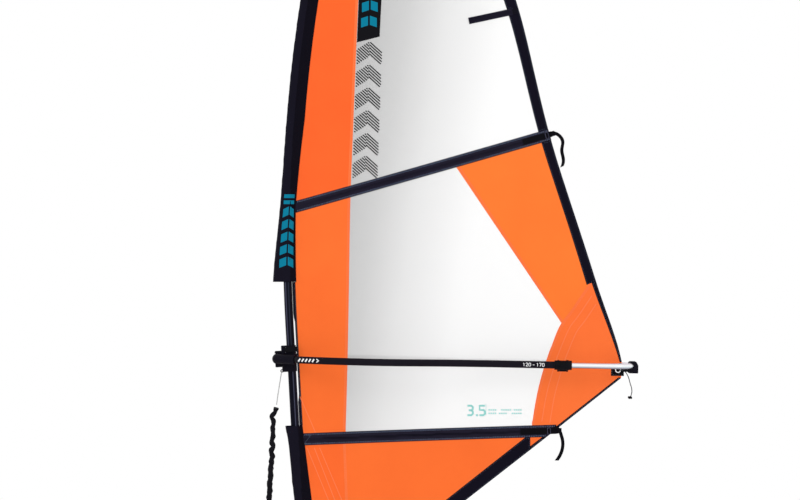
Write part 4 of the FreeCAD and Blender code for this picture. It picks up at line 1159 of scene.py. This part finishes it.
def add_arm_print(bm, tree, line, width, start):
    """A print on the near grip: line is (along, up) in metres from a place along the boom."""
    def on_grip(points, level):
        for along, up in points:
            x, z = boom_point(start + along, up)
            yield x, tree.ray_cast(Vector((x, -0.4, z)), ALONG_Y)[0].y + level, z

    add_strip(bm, evenly(line, 0.003), width, -0.0005, 0.0003, on_grip)


def make_arm_prints():
    grips = bmesh.new()
    grips.from_mesh(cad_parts["boom_grips"].data)
    tree = BVHTree.FromBMesh(grips)
    grips.free()
    bm = bmesh.new()
    for line in number_lines("120 - 170", 0.0135, 0.80):
        add_arm_print(bm, tree, [(a, b - 0.0065) for a, b in line], 0.0026, 1.048)
    for x in (0.0150 * i for i in range(5)):
        add_arm_print(bm, tree, [(x, -0.0065), (x + 0.008, 0.0065)], 0.0062, 0.092)
    add_arm_print(bm, tree, [(0.078, -0.007), (0.088, 0.0), (0.078, 0.007)], 0.0040, 0.092)
    flat_piece("arm_prints", bm, "white_ink", "grip_foam", "boom")


def make_sleeve_print(outer):
    """Teal shapes stacked up the sleeve's near side, a little proud of the cloth."""
    bm = bmesh.new()
    heights = np.array([row[0][2] for row in outer])

    def surface(z, share):
        i = int(np.clip(np.searchsorted(heights, z) - 1, 0, len(heights) - 2))
        low, high = np.array(outer[i]), np.array(outer[i + 1])
        row = low + (high - low) * ((z - heights[i]) / (heights[i + 1] - heights[i]))
        at_index = share * (len(row) - 1)
        k = int(min(at_index, len(row) - 2))
        return row[k] + (row[k + 1] - row[k]) * (at_index - k)

    def patch(corners):
        (s0, z0), (s1, z1), (s2, z2), (s3, z3) = corners
        grid = []
        for v in (i / 8 for i in range(9)):
            grid.append([surface((1 - v) * ((1 - u) * z0 + u * z1) + v * ((1 - u) * z3 + u * z2),
                                 (1 - v) * ((1 - u) * s0 + u * s1) + v * ((1 - u) * s3 + u * s2))
                         for u in (j / 6 for j in range(7))])
        add_shell(bm, *([[(p[0], p[1] + lift, p[2]) for p in row] for row in grid]
                        for lift in (-0.0005, 0.0002)))

    for z in (1.664 + 0.054 * i for i in range(5)):
        patch([(0.07, z), (0.20, z + 0.012), (0.20, z + 0.048), (0.07, z + 0.036)])
        patch([(0.23, z + 0.012), (0.365, z), (0.365, z + 0.036), (0.23, z + 0.048)])
    for low, high in ((1.938, 1.954), (1.964, 1.980)):
        patch([(0.07, low), (0.365, low), (0.365, high), (0.07, high)])
    return flat_piece("sleeve_marks", bm, "teal_ink", "sleeve_cloth")


def make_straps():
    front, back = [lambda points, edge, level=level: level + 0.0009 * np.sin(points[:, 1] * 90)
                   for level in (-0.0088, -0.0072)]
    obj, _ = cloth_piece("strap_ends", "batten_straps", 0.005, front, back, creased=False)
    settle(obj, "strap_cloth", "webbing")


def make_tensioners():
    """The webbing that tightens each full batten, sewn over its pocket's end, with its buckle."""
    for name, first_x, buckle_x in (("2", 0.930, 1.034), ("3", 0.919, 1.042)):
        first, last, run, across, _, depth = batten_frame(name)
        begin, middle = (first + run * (x - first[0]) / run[0] for x in (first_x, buckle_x))
        ribbon_piece("tensioner_" + name, evenly([begin, last + run * 0.008], 0.006), 0.025, -depth - 0.0010,
                     -depth + 0.0008, "strap_cloth", "webbing")
        y = float(cloth_y(*middle)) - depth - 0.0024
        ring = []
        for turn in (2 * math.pi * i / 36 for i in range(37)):
            a, b = (math.copysign(abs(part) ** 0.4, part) for part in (math.cos(turn), math.sin(turn)))
            place = middle + run * 0.0065 * a + across * 0.0135 * b
            ring.append((place[0], y, place[1]))
        buckle = tube_piece("buckle_" + name, np.array(ring), lambda share, angle: 0.0015, 8)
        # a real buckle, coloured grey-blue as a painted highlight
        settle(buckle, "buckle_nylon", "webbing")


make_camera()
make_light()
make_floor()
make_cords()
panels = make_panels()
bands = make_bands()
make_stitching()
make_seams()
make_prints()
make_straps()
make_tensioners()
make_arm_prints()
upper, upper_flat, upper_rows = sleeve_piece("sleeve_upper_cloth", "sleeve_upper", SLEEVE_UPPER, REAR_UPPER,
                                             SLACK_UPPER, SLEEVE_UPPER[0])
lower, lower_flat, _ = sleeve_piece("sleeve_lower_cloth", "sleeve_lower", SLEEVE_LOWER, REAR_LOWER, SLACK_LOWER,
                                    SLEEVE_LOWER[1])
sleeve_marks = make_sleeve_print(upper_rows)

# the bands and pockets that are sewn on to each panel
SEWN_ON = {
    "clew_panel": ("edge_tapes", "clew_webbing"), "foot_panel_aft": ("foot_band", "batten_pocket_3"),
    "window_upper": ("leech_band", "batten_pocket_2", "batten_pocket_1"),
    "foot_panel_front": ("tack_webbing",),
}
for node_name, (obj, area) in panels.items():
    sheet_size(obj)
    [bands[name] for name in SEWN_ON.get(node_name, ())]
